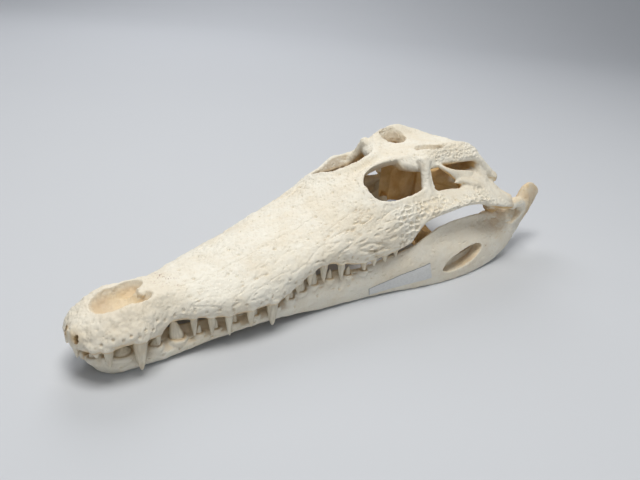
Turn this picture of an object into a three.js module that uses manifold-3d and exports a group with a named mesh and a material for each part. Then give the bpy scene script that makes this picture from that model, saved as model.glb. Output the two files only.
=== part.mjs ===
// Crocodile skull with its lower jaw, life size, jaws closed, resting on the jaw's lower edges.
// Millimetres, +Z up, snout towards -X, the animal's right side towards +Y.
// Every station and size below is given in percent of the skull length, and `pc` turns it into millimetres.
import * as THREE from "three";
import { LoftGeometry } from "three/addons/geometries/LoftGeometry.js";
import { mergeVertices } from "three/addons/utils/BufferGeometryUtils.js";
import Module from "manifold-3d";

const wasm = await Module();
wasm.setup();

// ---------- driving dimensions ----------

const SKULL_LENGTH = 300; // tip of the snout to the rear edge of the skull table, mm
const SUTURE_GAP = 0.3; // clear gap between neighbouring bones, mm
const RAIL_STEPS = 1; // facets between two rails round a section
const pc = SKULL_LENGTH / 100; // one percent of the skull length, mm
const CENTRE_X = 61.5; // percent: the station that lies over the frame's origin

// ---------- helpers ----------

// A smooth function through [station, value] knots: cubic pieces whose slopes never overshoot a knot.
function curve(knots) {
  const n = knots.length;
  const step = knots.slice(1).map(([x], i) => x - knots[i][0]);
  const slope = step.map((h, i) => (knots[i + 1][1] - knots[i][1]) / h);
  const tangent = knots.map((_, i) => {
    if (i === 0) return slope[0];
    if (i === n - 1) return slope[n - 2];
    if (slope[i - 1] * slope[i] <= 0) return 0;
    const a = 2 * step[i] + step[i - 1];
    const b = step[i] + 2 * step[i - 1];
    return (a + b) / (a / slope[i - 1] + b / slope[i]);
  });
  return (x) => {
    if (x <= knots[0][0]) return knots[0][1];
    if (x >= knots[n - 1][0]) return knots[n - 1][1];
    const i = knots.findIndex(([k]) => k > x) - 1;
    const h = step[i];
    const t = (x - knots[i][0]) / h;
    const u = 1 - t;
    return (
      u * u * (1 + 2 * t) * knots[i][1] +
      t * t * (3 - 2 * t) * knots[i + 1][1] +
      h * t * u * (u * tangent[i] - t * tangent[i + 1])
    );
  };
}

// Percent coordinates to a point in millimetres, with the origin under the middle of the skull.
function at(x, y, z) {
  return new THREE.Vector3((x - CENTRE_X) * pc, y * pc, z * pc);
}

// A closed three.js geometry as a solid that faces outwards.
function solid(geometry, matrix = new THREE.Matrix4()) {
  const placed = new THREE.BufferGeometry().copy(geometry).applyMatrix4(matrix);
  placed.deleteAttribute("normal");
  placed.deleteAttribute("uv");
  const merged = mergeVertices(placed, 1e-3);
  const mesh = new wasm.Mesh({
    numProp: 3,
    vertProperties: merged.attributes.position.array,
    triVerts: new Uint32Array(merged.index.array),
  });
  const made = new wasm.Manifold(mesh);
  if (made.volume() > 0) return made;
  for (let i = 0; i < mesh.triVerts.length; i += 3) {
    [mesh.triVerts[i + 1], mesh.triVerts[i + 2]] = [
      mesh.triVerts[i + 2],
      mesh.triVerts[i + 1],
    ];
  }
  return new wasm.Manifold(mesh);
}

// The direction a ring of points turns about, by the right-hand rule.
function turnAxis(points) {
  const axis = new THREE.Vector3();
  points.forEach((p, i) => axis.add(p.clone().cross(points[(i + 1) % points.length])));
  return axis;
}

// The mean of a few points.
function middle(points) {
  const sum = new THREE.Vector3();
  points.forEach((p) => sum.add(p));
  return sum.divideScalar(points.length);
}

// A loft through rings of points, closed at both ends.
function loft(sections) {
  const along = middle(sections.at(-1)).sub(middle(sections[0]));
  const rings = turnAxis(sections[0]).dot(along) > 0 ? sections : sections.map((s) => [...s].reverse());
  return solid(new LoftGeometry(rings, { closed: true, capStart: true, capEnd: true }));
}

// A closed smooth ring through a few control points.
function ring(points, steps = RAIL_STEPS) {
  const path = new THREE.CatmullRomCurve3(points, true);
  return path.getPoints(points.length * steps).slice(0, -1);
}

// A ring at one station from its right half, given as [y, z] from the top middle to the bottom middle.
function mirroredRing(x, half, steps) {
  const right = half.map(([y, z]) => at(x, y, z));
  const left = half
    .slice(1, -1)
    .reverse()
    .map(([y, z]) => at(x, -y, z));
  return ring([...right, ...left], steps);
}

// A tapered rod through [x, y, z, width, height] stops, with `sides` facets; width lies across the
// rod's run and level, height stands at right angles to both.
function rod(stops, sides = 8) {
  const centres = stops.map(([x, y, z]) => at(x, y, z));
  const rings = stops.map(([, , , width, height], i) => {
    const before = centres[Math.max(i - 1, 0)];
    const after = centres[Math.min(i + 1, stops.length - 1)];
    const along = after.clone().sub(before).normalize();
    const level = new THREE.Vector3(0, 0, 1).cross(along);
    if (level.length() < 0.05) level.set(0, 1, 0);
    level.normalize();
    const up = along.clone().cross(level).normalize();
    return Array.from({ length: sides }, (_, k) => {
      const a = (2 * Math.PI * k) / sides;
      return centres[i]
        .clone()
        .addScaledVector(level, Math.cos(a) * width * pc)
        .addScaledVector(up, Math.sin(a) * height * pc);
    });
  });
  return loft(rings);
}

// An egg-shaped solid: half lengths a, b, c along X, Y, Z.
function egg(x, y, z, a, b, c, matrix = new THREE.Matrix4()) {
  const scale = new THREE.Matrix4().makeScale(a * pc, b * pc, c * pc);
  const place = new THREE.Matrix4().setPosition(at(x, y, z));
  return solid(new THREE.SphereGeometry(1, 12, 7), place.multiply(matrix).multiply(scale));
}

// A solid and its mirror image on the other side of the skull.
function bothSides(make) {
  return make(1).add(make(-1));
}

// An upright curtain of the gap's thickness over a plan line of [x, y] points, from z0 to z1.
function curtain(line, z0, z1) {
  const points = line.map(([x, y]) => new THREE.Vector2((x - CENTRE_X) * pc, y * pc));
  const side = (sign) =>
    points.map((p, i) => {
      const run = points[Math.min(i + 1, points.length - 1)]
        .clone()
        .sub(points[Math.max(i - 1, 0)])
        .normalize();
      return new THREE.Vector2(-run.y, run.x).multiplyScalar((sign * SUTURE_GAP) / 2).add(p);
    });
  const outline = new THREE.Shape([...side(1), ...side(-1).reverse()]);
  const geometry = new THREE.ExtrudeGeometry(outline, {
    depth: (z1 - z0) * pc,
    bevelEnabled: false,
  });
  return solid(geometry, new THREE.Matrix4().makeTranslation(0, 0, z0 * pc));
}

// A block between two corners, in percent.
function block([x0, y0, z0], [x1, y1, z1]) {
  const geometry = new THREE.BoxGeometry((x1 - x0) * pc, (y1 - y0) * pc, (z1 - z0) * pc);
  return solid(
    geometry,
    new THREE.Matrix4().setPosition(at((x0 + x1) / 2, (y0 + y1) / 2, (z0 + z1) / 2)),
  );
}

// ---------- rails of the snout and face, from the tip of the snout backwards ----------

const halfWidth = curve([
  [0, 1.7], [1, 3.9], [3, 5.9], [5, 6.9], [7, 7.5], [9, 7.7], [11, 7.4], [14.7, 6.1], [18, 6.9],
  [20, 7.7], [26, 9.9], [32, 11.3], [35, 11.5], [38, 11.5], [44, 11.8], [50, 12.6], [57, 14.2],
  [64, 15.6], [70, 16.6], [74, 17.1], [77, 17.6], [81.4, 18.3], [85.7, 19], [90.5, 20], [95, 21],
  [99.4, 21.8], [104, 22.1],
]);
const marginHeight = curve([
  [0, 6.1], [3, 6.1], [6, 6.7], [9, 6.6], [12, 5.9], [13.6, 5.7], [16, 7.1], [20, 6.9], [26, 6.2],
  [32, 6.4], [36, 6.3], [40, 7.6], [44, 9.4], [48, 10.7], [52, 9.9], [57, 9], [62, 9.4], [68, 10.4],
  [70, 11], [72, 13.2], [74, 14.7], [78, 15.6], [83, 16.2],
]);
const roofHeight = curve([
  [0, 8.9], [0.8, 9.8], [2, 10.3], [4.3, 11.1], [8, 11.8], [13.6, 12.1], [20, 12], [26, 12.1],
  [32, 12.9], [38, 14.3], [44, 15.2], [50, 16.5], [57, 18.7], [61, 20.2], [64, 21.4], [68, 22.6],
  [72, 23.3], [76, 24], [80, 25.2], [83, 26],
]);
const crestY = curve([
  [0, 0.7], [2, 2.2], [5, 3.4], [9, 4.2], [14.7, 3.4], [20, 3.2], [26, 4], [32, 4.6], [44, 4.8],
  [50, 5.1], [57, 5.8], [61, 6.1], [64.5, 6.2], [68, 4.4], [72, 3.1], [76, 3], [79, 4], [81.5, 7],
  [83, 8.4],
]);
const crestHeight = curve([
  [0, 8.7], [2, 10], [5, 11.4], [9, 12.2], [14.7, 12.3], [20, 11.7], [26, 11.7], [32, 12.6],
  [38, 13.9], [44, 14.9], [50, 16.1], [57, 18.2], [61, 19.9], [64.5, 21.5], [68, 23.2], [72, 24.3],
  [76, 24.9], [80, 25.3], [83, 25.6],
]);
const cheekY = curve([
  [0, 1.3], [2, 3.9], [5, 5.2], [9, 5.9], [14.7, 4.6], [20, 5.8], [26, 7.5], [32, 8.6], [44, 8.9],
  [50, 9.5], [57, 10.8], [62, 11.4], [68, 12.1], [76, 12.6], [83, 12.8],
]);
const cheekHeight = curve([
  [0, 8.4], [2, 9.4], [5, 10.4], [9, 10.9], [14.7, 11.3], [20, 10.8], [26, 10.7], [32, 11.5],
  [38, 12.6], [44, 14], [50, 15.2], [57, 16.4], [62, 18.1], [66, 19.3], [72, 20.1], [78, 20.2], [83, 19.6],
]);
const shoulderY = curve([
  [0, 1.6], [2, 4.7], [5, 6.5], [9, 7.3], [14.7, 5.7], [20, 7.2], [26, 9.4], [32, 10.7], [44, 11.2],
  [50, 11.9], [57, 13.3], [64, 14.6], [72, 15.4], [83, 16.4],
]);
const shoulderHeight = curve([
  [0, 7.8], [2, 8.4], [5, 9], [9, 9.2], [14.7, 9.7], [20, 9.7], [26, 9.6], [32, 9.9], [38, 10.8],
  [44, 12.6], [50, 13.8], [57, 14], [64, 15.8], [68, 16.9], [72, 17.8], [83, 18.3],
]);

const SIDE_RISE = 1.3; // height of the upright band above the tooth margin
const LIP = 0.9; // how far the tooth margin lies inside the widest line
const PALATE_ARCH = 0.9; // how far the palate rises to its middle

// The outer skin of the snout and face at one station.
function faceSection(x) {
  const w = halfWidth(x);
  const lip = Math.min(LIP, 0.3 * w);
  const margin = marginHeight(x);
  return mirroredRing(x, [
    [0, roofHeight(x)],
    [crestY(x), crestHeight(x)],
    [cheekY(x), cheekHeight(x)],
    [shoulderY(x), shoulderHeight(x)],
    [w, margin + SIDE_RISE],
    [w - lip, margin],
    [w - lip - Math.min(1.9, 0.3 * w), margin + 0.1],
    [0, margin + PALATE_ARCH],
  ]);
}

const FACE_STATIONS = [
  0, 0.5, 1.3, 2.6, 4.6, 7.2, 10, 12.4, 14.6, 17, 20, 24, 28, 32, 36, 40, 44, 48, 52.5, 57, 61.5, 65.5,
  69, 72, 76, 80, 83,
];

// The hollow behind the snout, between the cheeks and under the roof, open below and behind.
const WALL = 1.3; // thickness of the cheek
const ROOF = 1.7; // thickness of the roof
function hollowSection(x) {
  const open = 0.25 + 0.75 * THREE.MathUtils.smoothstep(x, 56, 61.5);
  const floor = marginHeight(x) - 3;
  const side = halfWidth(x) - WALL - 0.4;
  return mirroredRing(
    x,
    [
      [0, floor + (roofHeight(x) - ROOF - floor) * open],
      [Math.min(crestY(x), 6) * open, floor + (crestHeight(x) - 1.1 * ROOF - floor) * open],
      [(cheekY(x) - 0.6 * WALL) * open, floor + (cheekHeight(x) - WALL - floor) * open],
      [(shoulderY(x) - WALL) * open, floor + (shoulderHeight(x) - WALL - floor) * open],
      [side * open, floor + (SIDE_RISE + 2.6) * open],
      [(side - 0.3) * open, floor],
      [0, floor],
    ],
    2,
  );
}

const HOLLOW_STATIONS = [58, 61.5, 65.5, 69, 72, 76, 80, 83, 85];

// ---------- the cheek bar and the sheet of bone behind it ----------

const barInnerY = curve([
  [76, 12.2], [83, 12.9], [87, 13.6], [90, 14.5], [91.4, 13.4], [93.5, 12.2], [97, 12.2], [100, 13.6],
  [102, 16], [104, 18.8],
]);
const barInnerZ = curve([
  [76, 19.8], [83, 19.4], [87, 19.3], [90, 19.2], [91.4, 20.3], [93.5, 21.6], [97, 21.9], [100, 20.8],
  [102, 18.8], [104, 16.4],
]);
const barMidY = curve([[76, 15.6], [83, 16.4], [90, 17.9], [95, 18], [100, 19.2], [104, 20.8]]);
const barMidZ = curve([[76, 18.2], [83, 18.3], [90, 18.5], [95, 18.6], [100, 17.4], [104, 15.4]]);
const barLowZ = curve([
  [76, 15.5], [83, 16.2], [87, 16.6], [91, 16.4], [95, 15.2], [99, 14.1], [104, 13],
]);
const barThick = curve([[76, 1.1], [90, 1.3], [97, 1.7], [104, 2]]);

// One station of the bar: its upper edge, its bulge, its lower edge and back up the inside.
function barSection(x, side) {
  const t = barThick(x);
  const w = halfWidth(x);
  return ring(
    [
      [barInnerY(x), barInnerZ(x)],
      [barMidY(x), barMidZ(x)],
      [w, barLowZ(x) + SIDE_RISE],
      [w - 0.7, barLowZ(x)],
      [w - 1.2 * t, barLowZ(x) + 0.3],
      [barMidY(x) - 0.8 * t, barMidZ(x) - 1.1 * t],
      [barInnerY(x) - 0.3 * t, barInnerZ(x) - t],
    ].map(([y, z]) => at(x, side * y, z)),
  );
}

const BAR_STATIONS = [76, 80, 84, 88, 90.2, 91.6, 93.5, 97, 100, 102.4, 104];

function cheekBar(side) {
  return loft(BAR_STATIONS.map((x) => barSection(x, side)));
}

// ---------- the flat table over the back of the head ----------

const tableHalf = curve([
  [79, 5], [80.2, 7.4], [81.6, 8.9], [84, 9.8], [88, 10.7], [92, 11.7], [96, 12.6], [99, 13], [100.6, 12.2],
]);
const tableTop = curve([[79, 24.9], [81.6, 25.7], [84, 26.1], [88, 26.4], [96, 26.6], [100.6, 26.5]]);
const ridgeY = curve([[79, 3.4], [81.6, 6.8], [84, 8], [88, 8.8], [92, 9.3], [96, 10], [99, 10.6], [100.6, 9.6]]);
const ridgeHeight = curve([
  [79, 24.9], [80.2, 25.4], [82, 26.4], [84, 27.2], [86, 27.8], [88, 28.1], [92, 28.3], [95, 28.2],
  [98, 27.7], [99.5, 27.1], [100.6, 26.5],
]);
const edgeHeight = curve([[79, 24.2], [84, 25], [88, 25.4], [94, 25.8], [98, 25.4], [100.6, 24.5]]);

// One station of the table, which dips to its middle between two rounded ridges.
function tableSection(x) {
  const half = tableHalf(x);
  const top = tableTop(x);
  return mirroredRing(
    x,
    [
      [0, top],
      [0.45 * ridgeY(x), top + 0.15],
      [ridgeY(x), ridgeHeight(x)],
      [half, edgeHeight(x)],
      [half - 0.5, edgeHeight(x) - 1],
      [0, top - 2.2],
    ],
  );
}

const TABLE_STATIONS = [79, 80.2, 81.6, 84, 88, 92, 96, 99, 100.6];

// The flange that drops from a rear corner of the table to the prong beside the ear.
function tableCorner(side) {
  return rod(
    [
      [95.5, 11.8 * side, 25.6, 1, 0.9],
      [99, 12.7 * side, 24, 1.4, 1.1],
      [101.6, 14.2 * side, 21.2, 1.5, 1.2],
      [103.2, 15.9 * side, 19.6, 1.3, 0.9],
    ],
    8,
  );
}

// ---------- openings ----------

// An oval eye opening through the roof of one side, looking out and up.
const EYE = { x: 73.1, y: 7.6, z: 22, front: 8.2, rear: 9.4, half: 4.9, tilt: 27 };
function eyeSocket(side) {
  const [front, rear, half] = [EYE.front * pc, EYE.rear * pc, EYE.half * pc];
  const outline = new THREE.Shape();
  outline.moveTo(-front, -0.25 * half);
  outline.bezierCurveTo(-front, 0.6 * half, -0.55 * front, 0.98 * half, 0, half);
  outline.bezierCurveTo(0.6 * rear, half, rear, 0.8 * half, rear, 0.1 * half);
  outline.bezierCurveTo(rear, -0.8 * half, 0.6 * rear, -half, 0, -half);
  outline.bezierCurveTo(-0.6 * front, -half, -front, -0.85 * half, -front, -0.25 * half);
  const geometry = new THREE.ExtrudeGeometry(outline, {
    depth: 11 * pc,
    bevelEnabled: false,
    curveSegments: 7,
  });
  const place = new THREE.Matrix4()
    .makeRotationX(THREE.MathUtils.degToRad(-EYE.tilt * side))
    .premultiply(new THREE.Matrix4().setPosition(at(EYE.x, EYE.y * side, EYE.z)))
    .multiply(new THREE.Matrix4().makeScale(1, -side, 1))
    .multiply(new THREE.Matrix4().makeTranslation(0, 0, -5 * pc));
  return solid(geometry, place);
}

// The slanting oval funnel through the skull table.
function tableWindow(side) {
  const ovals = [
    [88.6, 5.4, 28.5, 3.9, 3.2],
    [88.6, 5.4, 26.6, 3.7, 3],
    [89.4, 5.7, 24.4, 2.7, 2.2],
    [90, 6.2, 21.5, 2, 1.7],
  ];
  return loft(
    ovals.map(([x, y, z, a, b]) =>
      Array.from({ length: 12 }, (_, k) => {
        const t = (2 * Math.PI * k) / 12;
        return at(x + a * Math.cos(t), side * (y + b * Math.sin(t) + 0.25 * Math.cos(t)), z);
      }),
    ),
  );
}

// The bony nostril, an egg-shaped basin.
function nostril() {
  return egg(9.3, 0, 12, 5.2, 3.2, 4);
}

// The long openings through the palate on each side of its midline bar.
function palateWindow(side) {
  return rod(
    [
      [53, 5.6 * side, 8.5, 0.5, 3],
      [58, 6.8 * side, 8.5, 2.4, 4],
      [65, 7.8 * side, 9, 3.4, 5],
      [72, 8.8 * side, 9, 3.2, 5],
    ],
    10,
  );
}

// ---------- pieces under the roof ----------

// The walls round the brain, widening backwards into the back of the head.
function braincase() {
  const half = curve([[80, 1.6], [84, 2.8], [88, 3.2], [92, 4.2], [95, 7.8], [100.4, 9.4]]);
  const low = curve([[80, 16], [85, 13], [90, 11], [96, 9], [100.4, 8.6]]);
  return loft(
    [80, 83, 87, 91, 93.5, 96, 100.4].map((x) =>
      mirroredRing(
        x,
        [
          [0, 25.4],
          [half(x) + 0.6, 25],
          [half(x), 19.5],
          [half(x) * 0.85, 14],
          [half(x) * 0.45, low(x)],
          [0, low(x)],
        ],
        1,
      ),
    ),
  );
}

// The plate at the back of the head, with its side processes and the hole for the spinal cord.
function occiput() {
  const half = [
    [0, 26], [8, 26], [11.4, 25.6], [13, 24.2], [15.6, 20.6], [16.6, 19.4], [15.4, 18.2], [10.6, 18],
    [7.6, 15], [4.8, 11.8], [3.6, 8.4], [0, 7.8],
  ];
  const mirrored = half.slice(1, -1).map(([y, z]) => [-y, z]);
  const outline = new THREE.Shape(
    [...half, ...mirrored.reverse()].map(([y, z]) => new THREE.Vector2(y * pc, z * pc)),
  );
  const geometry = new THREE.ExtrudeGeometry(outline, { depth: 2.8 * pc, bevelEnabled: false });
  const upright = new THREE.Matrix4()
    .makeBasis(
      new THREE.Vector3(0, 1, 0),
      new THREE.Vector3(0, 0, 1),
      new THREE.Vector3(1, 0, 0),
    )
    .premultiply(new THREE.Matrix4().setPosition((97.8 - CENTRE_X) * pc, 0, 0));
  const spinalHole = egg(101, 0, 19, 4, 1.5, 1.35);
  const condyle = egg(101.2, 0, 15.8, 2.2, 2, 1.6);
  return solid(geometry, upright).add(condyle).subtract(spinalHole);
}

// The stout strut from the ear region out to the jaw joint.
function quadrate(side) {
  return rod(
    [
      [89, 5.5 * side, 20.4, 1.6, 2.2],
      [93, 9.4 * side, 20, 2.6, 2.2],
      [96.8, 13 * side, 18.8, 3.4, 2.1],
      [100.6, 17 * side, 16.4, 3.6, 1.9],
      [104.4, 20 * side, 14.7, 2.6, 1.8],
    ],
    10,
  );
}

// The thin front edge of the quadrate, from under the table down to the cheek bar.
function quadrateEdge(side) {
  return rod(
    [
      [85.4, 10.3 * side, 24.6, 0.8, 0.7],
      [88.2, 11.7 * side, 22.6, 1.1, 0.7],
      [91.5, 13.5 * side, 20.8, 1.6, 0.8],
      [95, 15.6 * side, 19.6, 1.8, 1],
    ],
    6,
  );
}

// The prong behind the ear, under the corner of the table.
function earProng(side) {
  return rod(
    [
      [98.6, 9.4 * side, 20.4, 1.3, 2],
      [101, 12.8 * side, 20.2, 1.3, 1.5],
      [103.3, 16 * side, 19.5, 1.2, 0.9],
    ],
    6,
  );
}

// The upright strut between the eye socket and the cheek window.
function eyeBar(side) {
  return rod(
    [
      [82.4, 8.4 * side, 25.3, 1.8, 1.6],
      [81.5, 9.7 * side, 23.4, 1.05, 1.1],
      [80.6, 11 * side, 21, 1, 1.05],
      [79.6, 12.4 * side, 18.7, 1.5, 1.5],
    ],
    8,
  );
}

// The pillar from the roof down to the palate in front of the eye.
function roofPillar(side) {
  return rod(
    [
      [65.5, 5.2 * side, 20.8, 1.2, 1.6],
      [66.4, 4 * side, 16, 0.7, 1],
      [67, 2.4 * side, 11, 0.9, 1.6],
    ],
    8,
  );
}

// The tube along the middle of the palate.
function palateBar() {
  return rod(
    [
      [53, 0, 10.4, 3.4, 1],
      [58, 0, 10.6, 3, 1.3],
      [66, 0, 10.8, 2.7, 1.4],
      [73, 0, 10.6, 2.9, 1.4],
      [79, 0, 10.4, 3.6, 1.6],
    ],
    10,
  );
}

// The winged plate at the rear of the palate: a section in X and Z for each place across it.
function wingPlate() {
  const drop = (y) => 10.2 - 5.2 * Math.pow(Math.abs(y) / 13.2, 1.5);
  const front = (y) => 75.5 + 0.36 * Math.abs(y);
  const rear = curve([[0, 90.5], [3, 91.5], [8, 88.5], [13.2, 88.5]]);
  const thick = (y) => 0.75 + 0.03 * Math.abs(y);
  const across = [-13.2, -12, -10, -7, -4, -1.5, 1.5, 4, 7, 10, 12, 13.2];
  return loft(
    across.map((y) => {
      const inset = Math.abs(y) > 13 ? 2 : 0;
      const [a, b] = [front(y) + inset, rear(Math.abs(y)) - inset];
      const slope = 0.07 * (b - a);
      return [
        at(a, y, drop(y) + slope),
        at((a + b) / 2, y, drop(y) + thick(y)),
        at(b, y, drop(y) - slope + 0.5),
        at(b, y, drop(y) - slope - 0.4),
        at((a + b) / 2, y, drop(y) - thick(y)),
        at(a, y, drop(y) + slope - 0.8),
      ];
    }),
  );
}

// The strut from a wing of the palate up to the inside of the cheek.
function wingStrut(side) {
  return rod(
    [
      [84.5, 12 * side, 6.2, 1.1, 2.2],
      [79.5, 12 * side, 8.8, 1, 1.7],
      [75.5, 12.4 * side, 13, 1, 1.3],
      [72, 13.6 * side, 17, 1.5, 1.5],
    ],
    8,
  );
}

// ---------- teeth ----------

// Teeth of one side as [station, length, radius], in percent; the socket line comes from the jaw.
// The first is the only one at the tip: the right one has fallen out.
const UPPER_TEETH = [
  [0.5, 2.2, 0.5], [2.2, 1, 0.6], [3.8, 3.2, 0.75], [8.9, 5.6, 1.15], [12.9, 2, 0.55],
  [19.7, 3.6, 0.65], [22.7, 3.5, 0.7], [25.8, 4.1, 0.75], [30, 3.5, 0.8], [35, 4.9, 1.15],
  [38.5, 1.7, 0.6], [41.3, 2, 0.65], [44.3, 2.6, 0.7], [47.8, 3.8, 0.85], [52.2, 3.6, 0.8],
  [57.8, 1.8, 0.75], [60.4, 1.6, 0.7], [63.3, 1.6, 0.7], [66.2, 1.5, 0.6],
];
const LOWER_TEETH = [
  [3, 2.2, 0.6], [4.8, 1.8, 0.6], [7, 1.9, 1.2], [12.6, 2, 0.8], [16.2, 4.2, 1.15], [21, 1.8, 0.5],
  [24.2, 2, 0.6], [28, 2.2, 0.65], [32.3, 2, 0.6], [37, 2, 0.6], [40.4, 2.6, 0.75], [43.2, 3, 0.85],
  [46.2, 3, 0.8], [50, 2.2, 0.7], [54.6, 2, 0.65], [58.6, 1.8, 0.6],
];
const TOOTH_SIDES = 5;
const TOOTH_ROOT = 0.9; // how far a tooth stands in its bone
const BITE_GAP = 0.13; // clear gap round a tooth that bites into the other jaw

// A pointed cone from its root to its tip, bent towards the mouth; `up` is 1 in the lower jaw.
function tooth(x, y, z, length, radius, lean, up) {
  const turn = Math.sign(y);
  const stops = [
    [-TOOTH_ROOT, 1, 0],
    [0.5 * length, 0.76, 0.7],
    [length, 0.1 / radius, 0.4],
  ];
  return loft(
    stops.map(([run, share, bend]) =>
      Array.from({ length: TOOTH_SIDES }, (_, k) => {
        const a = (2 * Math.PI * k) / TOOTH_SIDES;
        return at(
          x + radius * share * Math.cos(a),
          y + turn * lean * bend + 0.9 * radius * share * Math.sin(a),
          z + up * run,
        );
      }),
    ),
  );
}

// The teeth of one side; `grow` fattens them into the room they need in the bone they bite into.
function upperTeeth(side, grow = 0) {
  const row = UPPER_TEETH.filter(([x]) => side < 0 || x > 1);
  const set = row.map(([x, length, radius]) => {
    const y = x < 1 ? 0.6 : Math.max(halfWidth(x) - 0.8 - 0.3 * radius, 1.1);
    return tooth(x, side * y, marginHeight(x) + 0.2, length + grow, radius + grow, 0.4, -1);
  });
  return wasm.Manifold.union(set);
}

// ---------- the upper skull ----------

function upperSkull() {
  const face = loft(FACE_STATIONS.map(faceSection))
    .subtract(loft(HOLLOW_STATIONS.map(hollowSection)))
    .subtract(bothSides(palateWindow))
    .subtract(bothSides(eyeSocket));
  return wasm.Manifold.union([
    face,
    bothSides(cheekBar),
    loft(TABLE_STATIONS.map(tableSection)),
    bothSides(tableCorner),
    braincase(),
    occiput(),
    bothSides(quadrate),
    bothSides(quadrateEdge),
    bothSides(earProng),
    palateBar(),
    wingPlate(),
    bothSides(wingStrut),
    bothSides(roofPillar),
    bothSides(eyeBar),
    bothSides(upperTeeth),
  ])
    .subtract(bothSides(tableWindow))
    .subtract(nostril())
    .subtract(bothSides((side) => lowerTeeth(side, BITE_GAP)));
}

// ---------- rails of the lower jaw ----------

const jawOuter = curve([
  [2.2, 1.4], [3, 2.8], [4.8, 4.4], [7, 5.5], [9.6, 6], [15, 6.4], [21, 7.4], [27, 8.6], [33, 9.7],
  [38, 10.4], [44, 11.1], [48, 11.7], [56, 13.3], [62, 14.8], [68, 16.6], [73, 18.4], [80, 20.3],
  [86, 21.4], [92, 21.8], [98, 22], [104, 21.8], [109, 21], [115, 20.1], [123, 19.2],
]);
const jawThick = curve([
  [13.5, 6], [17, 4.2], [22, 3.4], [30, 3.1], [50, 3.1], [65, 3.2], [76, 3.6], [88, 4], [96, 4.6],
  [102, 6.4], [107, 6.2], [111, 4.4], [116, 3], [123, 2],
]);
const jawTop = curve([
  [2.2, 3.6], [4, 4], [10, 3.9], [15, 3.7], [20, 3.6], [26, 3.7], [33, 4.2], [38, 4.7], [42, 5.8],
  [46, 6.8], [50, 7.1], [56, 6.9], [61, 7.4], [65.5, 8.2], [71.6, 9.9], [76, 11.7], [80, 12.6],
  [86.7, 13], [93, 12.6], [98.6, 11.9],
  [104, 11.8], [109, 12.3], [113.4, 12.6], [115.2, 14.2], [116.6, 15.5], [118.6, 15.9], [121, 15.4], [123, 14.3],
]);
const jawLow = curve([
  [2.2, 2.6], [3.6, 1.1], [6, -0.1], [9.5, -0.1], [14.8, 0.15], [20.6, 0.9], [26.8, 1.6], [33, 1.9],
  [38, 1.6], [42.6, 1.1], [48, 0.5], [55.6, 0.25], [61.6, 0.2], [68, 0.12], [74, 0], [80, -0.12],
  [87, -0.1], [95, 0.1], [101, 0.8], [106, 2.2], [110, 3.9],
  [115, 6.1], [119, 8], [121.4, 9.8], [123, 12],
]);
const jawKeel = curve([[2.2, 0.5], [5, 1.4], [10, 1.6], [14, 0.9], [20, 0.6], [60, 0.4], [80, 0.3], [123, 0.4]]);
const SYMPHYSIS_END = 13.5; // station where the two halves of the jaw part

const JAW_STATIONS = [
  2.2, 2.7, 3.6, 5, 7.2, 10.5, 13.5, 15, 18, 22, 27, 32, 37, 42, 46, 51, 56, 61, 66, 71, 76, 80, 85, 90,
  95, 99, 102.5, 106, 110, 113, 115.2, 118, 121, 123,
];

// One half of the jaw at a station; `side` is 1 for the animal's right.
function jawSection(x, side) {
  const outer = jawOuter(x);
  const inner = x < SYMPHYSIS_END ? SUTURE_GAP / pc / 2 : outer - jawThick(x);
  const [low, top] = [jawLow(x), jawTop(x)];
  const tall = top - low;
  const wide = outer - inner;
  const lean = THREE.MathUtils.smoothstep(x, 70, 86) * 3.2 * (1 - THREE.MathUtils.smoothstep(x, 96, 108));
  return ring(
    [
      [inner + 0.45 * wide - 0.7 * lean, top],
      [outer - 0.22 * wide - lean, top - 0.16 * tall],
      [outer - 0.3 * lean, low + 0.5 * tall],
      [outer - jawKeel(x), low + 0.06 * tall],
      [inner + 0.5 * wide, low],
      [inner + 0.1 * wide, low + 0.16 * tall],
      [inner, low + 0.55 * tall],
      [inner + 0.08 * wide - 0.5 * lean, top - 0.12 * tall],
    ].map(([y, z]) => at(x, side * y, z)),
  );
}

// The deep channel in the rear half of the jaw, open above and on the inside.
function jawChannel(side) {
  const stations = [72, 76, 80, 85, 90, 95, 99.5];
  const depth = curve([[72, 9], [76, 6], [80, 3.4], [90, 3.3], [95, 5], [99.5, 7.6]]);
  const reach = curve([[72, 2], [78, 1.6], [88, 1.5], [95, 2], [99.5, 3.6]]);
  const lean = curve([[72, 0.6], [78, 2.1], [83, 3.4], [88, 4], [96, 3.8], [99.5, 3]]);
  return loft(
    stations.map((x) => {
      const outer = jawOuter(x) - reach(x);
      const inner = jawOuter(x) - jawThick(x) - 4;
      return [
        at(x, side * (outer - lean(x)), jawTop(x) + 1),
        at(x, side * (outer - lean(x)), jawTop(x) - 0.2 * (jawTop(x) - depth(x))),
        at(x, side * (outer - 0.3 * lean(x)), depth(x) + 0.35 * (jawTop(x) - depth(x))),
        at(x, side * (outer - 1), depth(x)),
        at(x, side * inner, depth(x)),
        at(x, side * inner, jawTop(x) + 1),
      ];
    }),
  );
}

// The oval window in the side of the jaw.
const JAW_WINDOW = { x: 86.1, z: 4.7, halfLength: 7.2, halfHeight: 1.9, tilt: 10 };
function jawWindow(side) {
  const outline = new THREE.Shape();
  const { x, z, halfLength, halfHeight, tilt } = JAW_WINDOW;
  const turn = THREE.MathUtils.degToRad(tilt);
  outline.absellipse(0, 0, halfLength * pc, halfHeight * pc, 0, 2 * Math.PI, false, turn);
  const geometry = new THREE.ExtrudeGeometry(outline, {
    depth: 5.4 * pc,
    bevelEnabled: false,
    curveSegments: 6,
  });
  const place = new THREE.Matrix4()
    .makeRotationX(Math.PI / 2)
    .premultiply(new THREE.Matrix4().setPosition(at(x, side > 0 ? 22.5 : -22.5 + 5.4, z)));
  return solid(geometry, place);
}

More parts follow.
